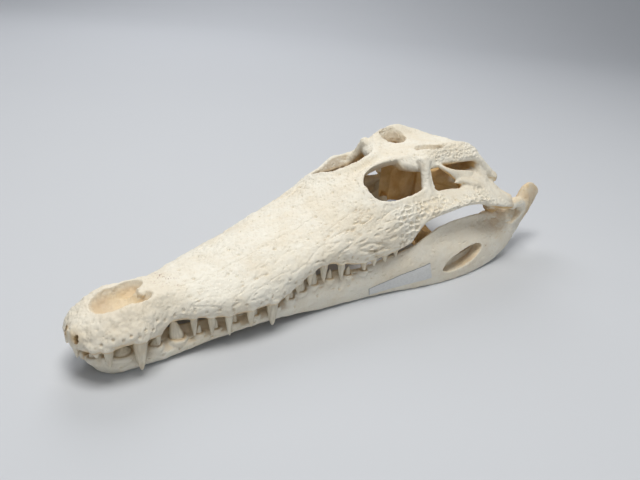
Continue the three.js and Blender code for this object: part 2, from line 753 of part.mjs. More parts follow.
function lowerTeeth(side, grow = 0) {
  const set = LOWER_TEETH.map(([x, length, radius]) => {
    const y = Math.max(jawOuter(x) - 0.7 - radius, 1.3);
    return tooth(x, side * y, jawTop(x) - 0.3, length + grow, radius + grow, 0.15, 1);
  });
  return wasm.Manifold.union(set);
}

// The hollow for the jaw joint on top of the rear of the jaw.
function jointHollow(side) {
  return egg(104.4, 19.6 * side, 14, 4, 4.6, 2.9);
}

function lowerJaw(side) {
  const below = block([-5, -30, -5], [130, 30, 0]);
  return loft(JAW_STATIONS.map((x) => jawSection(x, side)))
    .subtract(jawChannel(side))
    .subtract(jawWindow(side))
    .subtract(jointHollow(side))
    .subtract(upperTeeth(side, BITE_GAP))
    .add(lowerTeeth(side))
    .subtract(below);
}

// ---------- parting into bones ----------

// A thin slanting plate that stands across the skull: its edge runs from [x, z] to [x, z], and it
// spans y0 to y1.
function plate([x0, z0], [x1, z1], y0, y1) {
  const run = new THREE.Vector3((x1 - x0) * pc, 0, (z1 - z0) * pc);
  const geometry = new THREE.BoxGeometry(run.length(), (y1 - y0) * pc, SUTURE_GAP);
  const turn = new THREE.Matrix4().makeRotationY(-Math.atan2(run.z, run.x));
  return solid(geometry, turn.premultiply(new THREE.Matrix4().setPosition(at((x0 + x1) / 2, (y0 + y1) / 2, (z0 + z1) / 2))));
}

// The same plate on both sides of the skull.
function plates(from, to, y0, y1) {
  return plate(from, to, y0, y1).add(plate(from, to, -y1, -y0));
}

// The bed of the nasal bones, a shallow trough with a wall as thick as the gap, and below it the
// midline seam between the upper jaw bones.
function nasalBed() {
  const width = curve([[17, 1.2], [26, 2.4], [38, 3.1], [50, 3.2], [58, 2.2]]);
  const trough = (grow) =>
    loft(
      [17.4, 21, 27, 35, 44, 52, 58].map((x) => {
        const [half, top] = [width(x) + grow / pc, roofHeight(x) + 3];
        const low = roofHeight(x) - 1.6 - grow / pc;
        return [
          at(x, half, top),
          at(x, half, low + 0.9),
          at(x, 0.5 * half, low),
          at(x, -0.5 * half, low),
          at(x, -half, low + 0.9),
          at(x, -half, top),
        ];
      }),
    );
  const midline = curtain([[17.9, 0], [58, 0]], 0, 30);
  return trough(SUTURE_GAP).add(midline).subtract(trough(0));
}

// The seams that part the upper skull.
function skullSeams() {
  return wasm.Manifold.union([
    // snout tip from the upper jaw bones
    curtain([[14, -12], [14.4, -6], [17.5, -2.6], [18, 0], [17.5, 2.6], [14.4, 6], [14, 12]], 0, 20),
    // nasal bones, and the left upper jaw bone from the right one
    nasalBed(),
    // upper jaw bones from the forehead, with their rear ends running on below the cheeks
    curtain([[56, -7.2], [57.2, -4], [57.5, 0], [57.2, 4], [56, 7.2]], 0, 30),
    curtain([[56, -7.1], [61, -15], [62.5, -22]], 11.2, 30),
    curtain([[56, 7.1], [61, 15], [62.5, 22]], 11.2, 30),
    plates([55.8, 11.25], [74, 11.25], 6.9, 22),
    // forehead from the cheek bones
    plates([59, 11.2], [70.5, 21.4], 6.9, 22),
    // forehead from the skull table
    plate([79.5, 16], [79.5, 30], -6.6, 6.6),
    // cheek bones from the bars behind the eyes and from the jaw joint pieces
    plates([78, 21], [83.6, 21], 9, 16),
    curtain([[90.4, 12], [90.4, 24]], 10, 19.9),
    curtain([[90.4, -24], [90.4, -12]], 10, 19.9),
    // skull table from the braincase
    plate([78, 22.2], [84.45, 22.2], -5, 5),
    plate([84.4, 22.15], [84.4, 23.95], -18, 18),
    plate([84.35, 23.9], [107, 23.9], -18, 18),
    // jaw joint pieces from the braincase
    curtain([[84, 10.3], [108, 10.3]], 10, 24),
    curtain([[84, -10.3], [108, -10.3]], 10, 24),
    // palate from the forehead and the cheek bones
    plates([63.5, 16.5], [70, 16.5], 2, 7),
    plate([56, 11.9], [61, 11.9], -7.3, 7.3),
    plates([73, 10.6], [82, 10.6], 10, 16),
  ]);
}

// The seams that part one half of the lower jaw.
function jawSeams() {
  return wasm.Manifold.union([
    plate([76, 13.4], [82, -1], -26, 26),
    plate([92, 6.3], [101.1, 6.3], -26, 26),
    plate([101, -1], [101, 20], -26, 26),
  ]);
}

const CRUMB = 40; // mm3: anything smaller that a cut sheds is dropped

// Where the middle of each bone lies, in percent.
const SKULL_BONES = {
  premaxilla: [8, 0, 8],
  nasals: [37, 0, 14],
  maxilla_left: [44, -6, 11],
  maxilla_right: [44, 6, 11],
  forehead: [70, 0, 19],
  cheek_left: [76, -15, 16],
  cheek_right: [76, 15, 16],
  skull_table: [90, 0, 25],
  braincase: [93, 0, 16],
  palate: [73, 0, 9],
  quadrate_left: [96, -16, 18],
  quadrate_right: [96, 16, 18],
};
const JAW_BONES = {
  dentary: [40, 10, 4],
  surangular: [89, 20, 9],
  angular: [91, 20, 2],
  articular: [112, 20, 9],
};

// The piece of a cut whole whose middle lies nearest to each named place.
function bones(whole, places) {
  const pieces = whole.decompose().filter((piece) => piece.volume() > CRUMB);
  const centres = pieces.map((piece) => {
    const { min, max } = piece.boundingBox();
    return new THREE.Vector3((min[0] + max[0]) / 2, (min[1] + max[1]) / 2, (min[2] + max[2]) / 2);
  });
  const found = Object.entries(places).map(([name, [x, y, z]]) => {
    const gaps = centres.map((centre) => centre.distanceTo(at(x, y, z)));
    return [name, pieces[gaps.indexOf(Math.min(...gaps))]];
  });
  if (found.length !== pieces.length || new Set(found.map(([, piece]) => piece)).size !== pieces.length) {
    throw new Error(`the cuts left ${pieces.length} pieces for ${found.length} bones`);
  }
  return found;
}

// ---------- the model ----------

function meshOf(name, piece, color) {
  const { vertProperties, triVerts, numProp } = piece.getMesh();
  const positions = new Float32Array((vertProperties.length / numProp) * 3);
  for (let i = 0; i < positions.length / 3; i++) {
    positions.set(vertProperties.subarray(i * numProp, i * numProp + 3), i * 3);
  }
  const geometry = new THREE.BufferGeometry();
  geometry.setAttribute("position", new THREE.BufferAttribute(positions, 3));
  geometry.setIndex(new THREE.BufferAttribute(new Uint32Array(triVerts), 1));
  geometry.computeVertexNormals();
  const bone = new THREE.MeshStandardMaterial({ color, roughness: 0.62, metalness: 0 });
  const mesh = new THREE.Mesh(geometry, bone);
  mesh.name = name;
  return mesh;
}

const IVORY = 0xe9dfc6;
const skull = new THREE.Group();
bones(upperSkull().subtract(skullSeams()), SKULL_BONES).forEach(([name, piece]) => {
  skull.add(meshOf(name, piece, IVORY));
});
[[-1, "left"], [1, "right"]].forEach(([side, word]) => {
  const places = Object.entries(JAW_BONES).map(([name, [x, y, z]]) => [`${name}_${word}`, [x, side * y, z]]);
  bones(lowerJaw(side).subtract(jawSeams()), Object.fromEntries(places)).forEach(([name, piece]) => {
    skull.add(meshOf(name, piece, IVORY));
  });
});

export default skull;
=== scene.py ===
import math

import bpy
import numpy as np
from mathutils import Matrix, Vector


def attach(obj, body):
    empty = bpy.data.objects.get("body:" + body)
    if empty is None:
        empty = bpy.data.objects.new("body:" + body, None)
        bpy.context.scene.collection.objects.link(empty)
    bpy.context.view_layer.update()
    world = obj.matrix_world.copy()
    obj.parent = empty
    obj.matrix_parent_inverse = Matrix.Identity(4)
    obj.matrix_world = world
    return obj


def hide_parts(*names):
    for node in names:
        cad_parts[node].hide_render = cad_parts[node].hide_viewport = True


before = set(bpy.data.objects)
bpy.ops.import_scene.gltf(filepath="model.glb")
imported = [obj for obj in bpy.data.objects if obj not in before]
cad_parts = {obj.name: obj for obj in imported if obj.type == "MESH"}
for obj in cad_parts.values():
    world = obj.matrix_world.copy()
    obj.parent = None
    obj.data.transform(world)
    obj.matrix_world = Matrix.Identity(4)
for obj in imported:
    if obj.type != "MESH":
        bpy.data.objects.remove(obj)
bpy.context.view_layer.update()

bl_info = {
    "name": "Crocodile skull",
    "version": (1, 0, 0),
    "blender": (4, 5, 0),
    "location": "3D View > Sidebar > Skull",
    "description": "Builds a bleached crocodile skull with its closed jaw, teeth and stage",
    "category": "Add Mesh",
}

PC = 0.003  # one percent of the skull's length, in metres
ORIGIN = np.array([61.5, 0.0, 0.0])  # the frame's origin, in percent
SIDES = (-1.0, 1.0)  # the animal's left and right
SEAM = 0.00002  # width of the cut between two bones, in metres


# ---------- smooth functions and grids ----------


class Rail:
    """A smooth function through (station, value) knots: cubic pieces whose slopes never overshoot
    a knot. Outside its knots it keeps the end values."""

    def __init__(self, *knots):
        self.x, self.y = np.array(knots, float).T
        step = np.diff(self.x)
        rise = np.diff(self.y) / step
        self.m = np.empty_like(self.x)
        self.m[0], self.m[-1] = rise[0], rise[-1]
        after, before = 2 * step[1:] + step[:-1], step[1:] + 2 * step[:-1]
        same = rise[:-1] * rise[1:] > 0
        safe_low = np.where(same, rise[:-1], 1.0)
        safe_high = np.where(same, rise[1:], 1.0)
        self.m[1:-1] = np.where(same, (after + before) / (after / safe_low + before / safe_high), 0.0)

    def __call__(self, x):
        x = np.clip(np.asarray(x, float), self.x[0], self.x[-1])
        i = np.clip(np.searchsorted(self.x, x, side="right") - 1, 0, len(self.x) - 2)
        h = self.x[i + 1] - self.x[i]
        t = (x - self.x[i]) / h
        u = 1 - t
        return (
            u * u * (1 + 2 * t) * self.y[i]
            + t * t * (3 - 2 * t) * self.y[i + 1]
            + h * t * u * (u * self.m[i] - t * self.m[i + 1])
        )


def smoothstep(low, high, x):
    """0 below low, 1 above high, and the cubic 3t^2 - 2t^3 between."""
    t = np.clip((x - low) / (high - low), 0, 1)
    return t * t * (3 - 2 * t)


def band(x, low, high, soft):
    """1 between low and high, falling to 0 over soft on each side."""
    return smoothstep(low - soft, low + soft, x) * (1 - smoothstep(high - soft, high + soft, x))


def catmull_rom(a, b, c, d, t):
    """The curve from b to c between their neighbours a and d, for t from 0 to 1:
    (2b + (c - a) t + (2a - 5b + 4c - d) t^2 + (3b - a - 3c + d) t^3) / 2."""
    return 0.5 * (
        2 * b + (c - a) * t + (2 * a - 5 * b + 4 * c - d) * t**2 + (3 * b - a - 3 * c + d) * t**3
    )


def closed_spline(points, steps):
    """Curves through closed rings: (rows, k, 3) points become (rows, k * steps, 3)."""
    t = (np.arange(steps) / steps)[None, None, :, None]
    out = catmull_rom(*(np.roll(points, s, axis=1)[:, :, None] for s in (1, 0, -1, -2)), t)
    return out.reshape(len(points), -1, points.shape[-1])


def open_spline(points, steps):
    """A curve through the rows of an open path, `steps` new rows for each span."""
    p = np.concatenate([2 * points[:1] - points[1:2], points, 2 * points[-1:] - points[-2:-1]])
    t = (np.arange(steps) / steps)[None, :, None]
    out = catmull_rom(*(p[s : len(p) - 3 + s, None] for s in range(4)), t)
    return np.concatenate([out.reshape(-1, points.shape[-1]), points[-1:]])


def circle(count):
    """Equal angles round a circle."""
    return 2 * math.pi * np.arange(count) / count


def quads(a, b, c, d):
    """Two triangles for each cell with the corners a, b, c and d."""
    return np.concatenate([np.stack(t, -1).reshape(-1, 3) for t in ((a, b, c), (a, c, d))])


def open_cells(n, m):
    """The triangles of an open grid of n by m points."""
    i = (np.arange(n - 1)[:, None] * m + np.arange(m - 1)[None]).ravel()
    return quads(i, i + m, i + m + 1, i + 1)


def outward(verts, tris):
    """A closed surface with its triangles turned so that the volume inside, sum a . (b x c) / 6, is
    positive."""
    a, b, c = (verts[tris[:, i]] for i in range(3))
    if np.einsum("ij,ij->i", a, np.cross(b, c)).sum() < 0:
        tris = tris[:, ::-1]
    return verts, tris


def skin(rows):
    """A closed solid from a grid of rings (rows, columns, 3): two triangles for each cell, and a fan
    from the middle of each end ring."""
    n, m = rows.shape[:2]
    corner = np.arange(n - 1)[:, None] * m
    j = np.arange(m)
    k = (j + 1) % m
    last = (n - 1) * m
    ends = [
        np.stack([k, j, np.full(m, n * m)], -1),
        np.stack([last + j, last + k, np.full(m, n * m + 1)], -1),
    ]
    verts = np.concatenate([rows.reshape(-1, 3), rows[[0, -1]].mean(1)])
    cells = quads(corner + j, corner + k, corner + m + k, corner + m + j)
    return outward(verts, np.concatenate([cells, *ends]))


def join(*solids):
    """Several solids as one array of points and one of triangles."""
    flat = [s for part in solids for s in (part if isinstance(part, list) else [part])]
    start = np.cumsum([0] + [len(v) for v, _ in flat[:-1]])
    return (
        np.concatenate([v for v, _ in flat]),
        np.concatenate([t + s for (_, t), s in zip(flat, start)]),
    )


def mirrored(x, half):
    """Rings from right halves: half is (rows, k, 2) of y and z from the top middle to the bottom middle."""
    left = half[:, -2:0:-1] * np.array([-1.0, 1.0])
    flat = np.concatenate([half, left], axis=1)
    station = np.broadcast_to(np.asarray(x, float)[:, None, None], flat.shape[:2] + (1,))
    return np.concatenate([station, flat], axis=-1)


def grid(*points):
    """One ring of control points for each station: the parts of a point are numbers or arrays over
    the stations."""
    shape = np.broadcast_shapes(*(np.shape(v) for point in points for v in point))
    rings = [np.stack([np.broadcast_to(v, shape) for v in point], -1) for point in points]
    return np.stack(rings, axis=1)


def both(make):
    """The left and the right copy of a shape."""
    return [make(side) for side in SIDES]


ROD_STEPS = 8  # rings from one stop of a rod to the next
ROD_SIDES = 20
ROUND_END = 0.7  # length of a rod's round end, in half widths
TIP_SHARE = 0.06  # size of the last ring of a round end


def rod(side, *stops):
    """A tapered rod of elliptical rings along a spline through (x, y, z, width, height) stops, with y
    towards one side. The end rings shrink on a quarter circle, (sin t, cos t), so the rod ends round."""
    path = open_spline(np.array(stops, float) * np.array([1, side, 1, 1, 1]), ROD_STEPS)
    centre, size = path[:, :3], path[:, 3:]
    along = np.gradient(centre, axis=0)
    along /= np.linalg.norm(along, axis=1, keepdims=True)
    level = np.cross([0.0, 0.0, 1.0], along)
    length = np.linalg.norm(level, axis=1, keepdims=True)
    level = np.where(length < 0.05, [0.0, 1.0, 0.0], level / np.maximum(length, 1e-6))
    up = np.cross(along, level)
    turn = np.linspace(0, math.pi / 2, 5)[:-1]
    shrink = np.maximum(np.sin(turn), TIP_SHARE)[:, None]
    back = np.cos(turn)[:, None]
    reach = ROUND_END * size.min(axis=1)
    heads = centre[0] - along[0] * (back * reach[0])
    tails = centre[-1] + along[-1] * (back[::-1] * reach[-1])
    centre = np.concatenate([heads, centre, tails])
    size = np.concatenate([size[:1] * shrink, size, size[-1:] * shrink[::-1]])
    level, up = (
        np.concatenate([np.repeat(axis[:1], len(turn), 0), axis, np.repeat(axis[-1:], len(turn), 0)])
        for axis in (level, up)
    )
    angle = circle(ROD_SIDES)
    rows = (
        centre[:, None]
        + level[:, None] * (np.cos(angle) * size[:, :1])[..., None]
        + up[:, None] * (np.sin(angle) * size[:, 1:])[..., None]
    )
    return skin(rows)


def egg(x, y, z, a, b, c):
    """A ball stretched to the half lengths a, b, c: (-a cos u, b sin u cos v, c sin u sin v)."""
    u = np.linspace(0.03, math.pi - 0.03, 18)[:, None]
    v = circle(24)
    ball = [-np.cos(u) * np.ones(24) * a, np.sin(u) * np.cos(v) * b, np.sin(u) * np.sin(v) * c]
    return skin(np.stack(ball, -1) + np.array([x, y, z], float))


def hoop(points, radius, steps, sides):
    """A closed tube of one radius along a closed spline: each ring is a circle square to the path."""
    path = closed_spline(np.array([points], float), steps)[0]
    along = np.roll(path, -1, 0) - np.roll(path, 1, 0)
    along /= np.linalg.norm(along, axis=1, keepdims=True)
    out = np.cross(along, [0.0, 0.0, 1.0])
    out /= np.linalg.norm(out, axis=1, keepdims=True)
    up = np.cross(out, along)
    angle = circle(sides)[None, :, None]
    rows = path[:, None] + radius * (np.cos(angle) * out[:, None] + np.sin(angle) * up[:, None])
    i = np.arange(len(path))[:, None] * sides
    j = np.arange(sides)
    k = (j + 1) % sides
    after = np.roll(i, -1, 0)
    return outward(rows.reshape(-1, 3), quads(i + j, i + k, after + k, after + j))


def place(verts):
    """Percent coordinates to metres in the frame."""
    return (np.asarray(verts, float) - ORIGIN) * PC


def unplace(co):
    """Metres in the frame to percent coordinates."""
    return co / PC + ORIGIN


# ---------- meshes ----------


def mesh_object(name, solid):
    """A mesh object from points in percent and triangles."""
    verts, tris = solid
    mesh = bpy.data.meshes.new(name)
    mesh.vertices.add(len(verts))
    mesh.vertices.foreach_set("co", place(verts).astype(np.float32).ravel())
    mesh.loops.add(3 * len(tris))
    mesh.loops.foreach_set("vertex_index", tris.astype(np.int32).ravel())
    mesh.polygons.add(len(tris))
    mesh.polygons.foreach_set("loop_start", np.arange(0, 3 * len(tris), 3, dtype=np.int32))
    mesh.update(calc_edges=True)
    piece = bpy.data.objects.new(name, mesh)
    bpy.context.scene.collection.objects.link(piece)
    return piece


def apply(piece, kind, **settings):
    """Adds one modifier with the given settings and makes its result the piece's mesh."""
    modifier = piece.modifiers.new(kind, kind)
    for key, value in settings.items():
        setattr(modifier, key, value)
    bpy.context.view_layer.update()
    ready = piece.evaluated_get(bpy.context.evaluated_depsgraph_get())
    mesh = bpy.data.meshes.new_from_object(ready)
    old = piece.data
    piece.modifiers.clear()
    piece.data = mesh
    bpy.data.meshes.remove(old)
    return piece


def remove(piece):
    """Deletes a helper object and its mesh."""
    mesh = piece.data
    bpy.data.objects.remove(piece)
    bpy.data.meshes.remove(mesh)


def cut_with(piece, tool, operation="DIFFERENCE"):
    """Cuts a piece with a tool object, or joins the two, and deletes the tool."""
    apply(piece, "BOOLEAN", operation=operation, solver="MANIFOLD", object=tool)
    remove(tool)
    if len(piece.data.polygons) == 0:
        raise RuntimeError(f"nothing is left of {piece.name} after a cut")
    return piece


def cut(piece, cutter):
    """Subtracts a cutter solid from a piece."""
    return cut_with(piece, mesh_object("cutter", cutter))


def united(solids):
    """One closed skin round several overlapping solids."""
    whole = mesh_object("tool", solids[0])
    for solid in solids[1:]:
        cut_with(whole, mesh_object("cutter", solid), "UNION")
    return whole


def fuse(piece, size):
    """Makes overlapping solids one closed skin of cells of the given size in metres."""
    return apply(piece, "REMESH", mode="VOXEL", voxel_size=size, adaptivity=0.0)


def relax(piece, times, factor=0.5):
    """Moves each point towards the middle of its neighbours."""
    return apply(piece, "SMOOTH", factor=factor, iterations=times)


def read(items, key, width, kind=np.float32):
    """One row of numbers from each item of a mesh."""
    out = np.empty(width * len(items), kind)
    items.foreach_get(key, out)
    return out.reshape(-1, width)


def store(piece, name, values):
    """Stores a number from 0 to 1 on each point of a piece, for its material."""
    attribute = piece.data.attributes.new(name, "FLOAT", "POINT")
    attribute.data.foreach_set("value", np.clip(values, 0, 1).astype(np.float32).ravel())


def smooth(piece):
    """Shades all faces of a piece smooth."""
    piece.data.polygons.foreach_set("use_smooth", np.ones(len(piece.data.polygons), bool))


def points_of(piece):
    """A piece's points, in percent."""
    return unplace(read(piece.data.vertices, "co", 3).astype(float))


def normals_of(piece):
    """The normals at a piece's points."""
    return read(piece.data.vertex_normals, "vector", 3).astype(float)


def solid_of(piece):
    """A piece's points in percent and its triangles."""
    piece.data.calc_loop_triangles()
    return points_of(piece), read(piece.data.loop_triangles, "vertices", 3, np.int32)


def merge(piece, other):
    """Two mesh objects as one."""
    solids = [solid_of(piece), solid_of(other)]
    name = piece.name
    remove(piece)
    remove(other)
    return mesh_object(name, join(*solids))


# ---------- noise ----------


def lattice_random(ix, iy, iz, seed):
    """A repeatable number from 0 to 1 for each whole lattice point: multiply, mix the bits and keep
    the low ones."""
    h = (ix * 374761393 + iy * 668265263 + iz * 2147483647 + seed * 1274126177) & 0xFFFFFFFF
    h = ((h ^ (h >> 13)) * 1274126177) & 0xFFFFFFFF
    h = ((h ^ (h >> 16)) * 2246822519) & 0xFFFFFFFF
    return ((h ^ (h >> 15)) & 0xFFFFFF) / float(0xFFFFFF)


def value_noise(p, seed):
    """Random values on a lattice blended by 3t^2 - 2t^3 between them, from -1 to 1."""
    base = np.floor(p).astype(np.int64)
    t = p - base
    t = t * t * (3 - 2 * t)
    total = np.zeros(len(p))
    for corner in np.ndindex(2, 2, 2):
        weight = np.where(corner, t, 1 - t)
        value = lattice_random(*(base + np.array(corner)).T, seed)
        total += weight[:, 0] * weight[:, 1] * weight[:, 2] * value
    return 2 * total - 1


def near_cells(p):
    """The lattice cell of each point and the 26 cells round it, one after the other."""
    base = np.floor(p).astype(np.int64)
    for step in np.ndindex(3, 3, 3):
        yield base + np.array(step) - 1


def cell_spot(cell, seed):
    """A random place in each lattice cell, from 0 to 1 along each axis."""
    return np.stack([lattice_random(*cell.T, seed + s) for s in (1, 2, 3)], -1)


def pits(p, seed, low, high, share):
    """Round dents, one at most in each lattice cell: 1 at a dent's middle, (1 - (d / r)^2)^2 out to its
    radius r, which lies between low and high; share is the chance that a cell has one."""
    best = np.zeros(len(p))
    for cell in near_cells(p):
        radius = low + (high - low) * lattice_random(*cell.T, seed + 4)
        there = lattice_random(*cell.T, seed + 5) < share
        gap = ((p - cell - cell_spot(cell, seed)) ** 2).sum(1)
        best = np.maximum(best, np.where(there, np.clip(1 - gap / radius**2, 0, 1) ** 2, 0))
    return best


def comb(p, seed):
    """A net of thin walls round flat pits: one middle in each lattice cell, and from the distances to the
    nearest two middles, d1 and d2, a rise of 3t^2 - 2t^3 with d2 - d1 from 0 on a wall to 1 in a pit."""
    first = np.full(len(p), 9.0)
    second = first.copy()
    for cell in near_cells(p):
        gap = ((p - cell - (0.2 + 0.6 * cell_spot(cell, seed))) ** 2).sum(1)
        second = np.minimum(second, np.maximum(first, gap))
        first = np.minimum(first, gap)
    return smoothstep(0.06, 0.5, np.sqrt(second) - np.sqrt(first))


def grooves(p, seed, long, across, width):
    """Thin furrows that wander along the snout, exp(-(n / width)^2), with a noise n drawn out along X."""
    drift = 1.3 * value_noise(p * 0.11, seed + 9)
    q = np.stack([p[:, 0] / long, (p[:, 1] + drift) / across, (p[:, 2] + 0.7 * drift) / across], -1)
    return np.exp(-((value_noise(q, seed) / width) ** 2))


# ---------- rails of the snout and face ----------

half_width = Rail(
    (0, 1.7), (1, 3.9), (3, 5.9), (5, 6.9), (7, 7.5), (9, 7.7), (11, 7.4), (14.7, 6.1), (18, 6.9),
    (20, 7.7), (26, 9.9), (32, 11.3), (35, 11.5), (38, 11.5), (44, 11.8), (50, 12.6), (57, 14.2),
    (64, 15.6), (70, 16.6), (74, 17.1), (77, 17.6), (81.4, 18.3), (85.7, 19), (90.5, 20), (95, 21),
    (99.4, 21.8), (104, 22.1),
)
margin_height = Rail(
    (0, 6.1), (3, 6.1), (6, 6.7), (9, 6.6), (12, 5.9), (13.6, 5.7), (16, 7.1), (20, 6.9), (26, 6.2),
    (32, 6.4), (36, 6.3), (40, 7.6), (44, 9.4), (48, 10.7), (52, 9.9), (57, 9), (62, 9.4), (68, 10.4),
    (70, 11), (72, 13.2), (74, 14.7), (78, 15.6), (83, 16.2),
)
roof_height = Rail(
    (0, 8.9), (0.8, 9.8), (2, 10.3), (4.3, 11.1), (8, 11.8), (13.6, 12.1), (20, 12), (26, 12.1),
    (32, 12.9), (38, 14.3), (44, 15.2), (50, 16.5), (57, 18.7), (61, 20.2), (64, 21.4), (68, 22.6),
    (72, 23.3), (76, 24), (80, 25.2), (83, 26),
)
crest_y = Rail(
    (0, 0.7), (2, 2.2), (5, 3.4), (9, 4.2), (14.7, 3.4), (20, 3.2), (26, 4), (32, 4.6), (44, 4.8),
    (50, 5.1), (57, 5.8), (61, 6.1), (64.5, 6.2), (68, 4.4), (72, 3.1), (76, 3), (79, 4), (81.5, 7),
    (83, 8.4),
)
crest_height = Rail(
    (0, 8.7), (2, 10), (5, 11.4), (9, 12.2), (14.7, 12.3), (20, 11.7), (26, 11.7), (32, 12.6),
    (38, 13.9), (44, 14.9), (50, 16.1), (57, 18.2), (61, 19.9), (64.5, 21.5), (68, 23.2), (72, 24.3),
    (76, 24.9), (80, 25.3), (83, 25.6),
)
cheek_y = Rail(
    (0, 1.3), (2, 3.9), (5, 5.2), (9, 5.9), (14.7, 4.6), (20, 5.8), (26, 7.5), (32, 8.6), (44, 8.9),
    (50, 9.5), (57, 10.8), (62, 11.4), (68, 12.1), (76, 12.6), (83, 12.8),
)
cheek_height = Rail(
    (0, 8.4), (2, 9.4), (5, 10.4), (9, 10.9), (14.7, 11.3), (20, 10.8), (26, 10.7), (32, 11.5),
    (38, 12.6), (44, 14), (50, 15.2), (57, 16.4), (62, 18.1), (66, 19.3), (72, 20.1), (78, 20.2),
    (83, 19.6),
)
shoulder_y = Rail(
    (0, 1.6), (2, 4.7), (5, 6.5), (9, 7.3), (14.7, 5.7), (20, 7.2), (26, 9.4), (32, 10.7), (44, 11.2),
    (50, 11.9), (57, 13.3), (64, 14.6), (72, 15.4), (83, 16.4),
)
shoulder_height = Rail(
    (0, 7.8), (2, 8.4), (5, 9), (9, 9.2), (14.7, 9.7), (20, 9.7), (26, 9.6), (32, 9.9), (38, 10.8),
    (44, 12.6), (50, 13.8), (57, 14), (64, 15.8), (68, 16.9), (72, 17.8), (83, 18.3),
)
SIDE_RISE = 1.3  # height of the upright band above the tooth margin
LIP = 0.9  # how far the tooth margin lies inside the widest line
PALATE_ARCH = 0.9  # rise of the palate at its middle
GUM = 1.9  # width of the flat band inside the tooth margin
FACE_REAR = 83.0  # the last station of the face's rails
WALL = 1.3  # thickness of the cheek
ROOF = 1.7  # thickness of the roof


def face_solid():
    """The outer skin of the snout and face: closed splines through eight points a side, one ring a
    station."""
    x = np.concatenate([np.linspace(0, 4, 25), np.arange(4.3, FACE_REAR + 0.01, 0.3)])
    w, margin = half_width(x), margin_height(x)
    lip = np.minimum(LIP, 0.3 * w)
    inner = w - lip - np.minimum(GUM, 0.3 * w)
    half = grid(
        (0.0, roof_height(x)),
        (crest_y(x), crest_height(x)),
        (cheek_y(x), cheek_height(x)),
        (shoulder_y(x), shoulder_height(x)),
        (w, margin + SIDE_RISE),
        (w - lip, margin),
        (inner, margin + 0.1),
        (0.0, margin + PALATE_ARCH),
    )
    return skin(closed_spline(mirrored(x, half), 10))


def hollow_solid():
    """The space behind the snout, between the cheeks and under the roof; it opens from a quarter to its
    full size between two stations."""
    x = np.arange(58, 85.01, 0.5)
    opening = 0.25 + 0.75 * smoothstep(56, 61.5, x)
    floor = margin_height(x) - 3
    side = half_width(x) - WALL - 0.4

    def up_to(height):
        """A height of the full space, drawn down to the floor where the space is still small."""
        return floor + (height - floor) * opening

    half = grid(
        (0.0, up_to(roof_height(x) - ROOF)),
        (np.minimum(crest_y(x), 6) * opening, up_to(crest_height(x) - 1.1 * ROOF)),
        ((cheek_y(x) - 0.6 * WALL) * opening, up_to(cheek_height(x) - WALL)),
        ((shoulder_y(x) - WALL) * opening, up_to(shoulder_height(x) - WALL)),
        (side * opening, floor + (SIDE_RISE + 2.6) * opening),
        ((side - 0.3) * opening, floor),
        (0.0, floor),
    )
    return skin(closed_spline(mirrored(x, half), 6))


# ---------- the cheek bar ----------

bar_inner_y = Rail(
    (76, 12.2), (83, 12.9), (87, 13.6), (90, 14.5), (91.4, 13.4), (93.5, 12.2), (97, 12.2), (100, 13.6),
    (102, 16), (104, 18.8),
)
bar_inner_z = Rail(
    (76, 19.8), (83, 19.4), (87, 19.3), (90, 19.2), (91.4, 20.3), (93.5, 21.6), (97, 21.9), (100, 20.8),
    (102, 18.8), (104, 16.4),
)
bar_mid_y = Rail((76, 15.6), (83, 16.4), (90, 17.9), (95, 18), (100, 19.2), (104, 20.8))
bar_mid_z = Rail((76, 18.2), (83, 18.3), (90, 18.5), (95, 18.6), (100, 17.4), (104, 15.4))
bar_low_z = Rail((76, 15.5), (83, 16.2), (87, 16.6), (91, 16.4), (95, 15.2), (99, 14.1), (104, 13))
bar_thick = Rail((76, 1.1), (90, 1.3), (97, 1.7), (104, 2))


def cheek_bar(side):
    """The bar below the eye and the sheet behind it: rings through its upper edge, bulge, lower edge
    and inside."""
    x = np.arange(76, 104.01, 0.35)
    t, w = bar_thick(x), half_width(x)
    ring = grid(
        (x, side * bar_inner_y(x), bar_inner_z(x)),
        (x, side * bar_mid_y(x), bar_mid_z(x)),
        (x, side * w, bar_low_z(x) + SIDE_RISE),
        (x, side * (w - 0.7), bar_low_z(x)),
        (x, side * (w - 1.2 * t), bar_low_z(x) + 0.3),
        (x, side * (bar_mid_y(x) - 0.8 * t), bar_mid_z(x) - 1.1 * t),
        (x, side * (bar_inner_y(x) - 0.3 * t), bar_inner_z(x) - t),
    )
    return skin(closed_spline(ring, 8))


# ---------- the skull table ----------

table_half = Rail(
    (79, 5), (80.2, 7.4), (81.6, 8.9), (84, 9.8), (88, 10.7), (92, 11.7), (96, 12.6), (99, 13),
    (100.6, 12.2),
)
table_top = Rail((79, 24.9), (81.6, 25.7), (84, 26.1), (88, 26.4), (96, 26.6), (100.6, 26.5))
ridge_y = Rail((79, 3.4), (81.6, 6.8), (84, 8), (88, 8.8), (92, 9.3), (96, 10), (99, 10.6), (100.6, 9.6))
ridge_height = Rail(
    (79, 24.9), (80.2, 25.4), (82, 26.4), (84, 27.2), (86, 27.8), (88, 28.1), (92, 28.2), (95, 28.1),
    (98, 27.5), (99.5, 26.9), (100.6, 26.3),
)
edge_height = Rail((79, 24.2), (84, 25), (88, 25.4), (94, 25.8), (98, 25.4), (100.6, 24.5))


def table_solid():
    """The roof over the back of the head, which dips to its middle between two rounded ridges."""
    x = np.arange(79, 100.61, 0.3)
    half_y, top = table_half(x), table_top(x)
    half = grid(
        (0.0, top),
        (0.45 * ridge_y(x), top + 0.15),
        (ridge_y(x) - 0.5, ridge_height(x)),
        (half_y, edge_height(x)),
        (half_y - 0.4, edge_height(x) - 1.7),
        (0.6 * half_y, top - 2.2),
        (0.0, top - 2.4),
    )
    return skin(closed_spline(mirrored(x, half), 8))


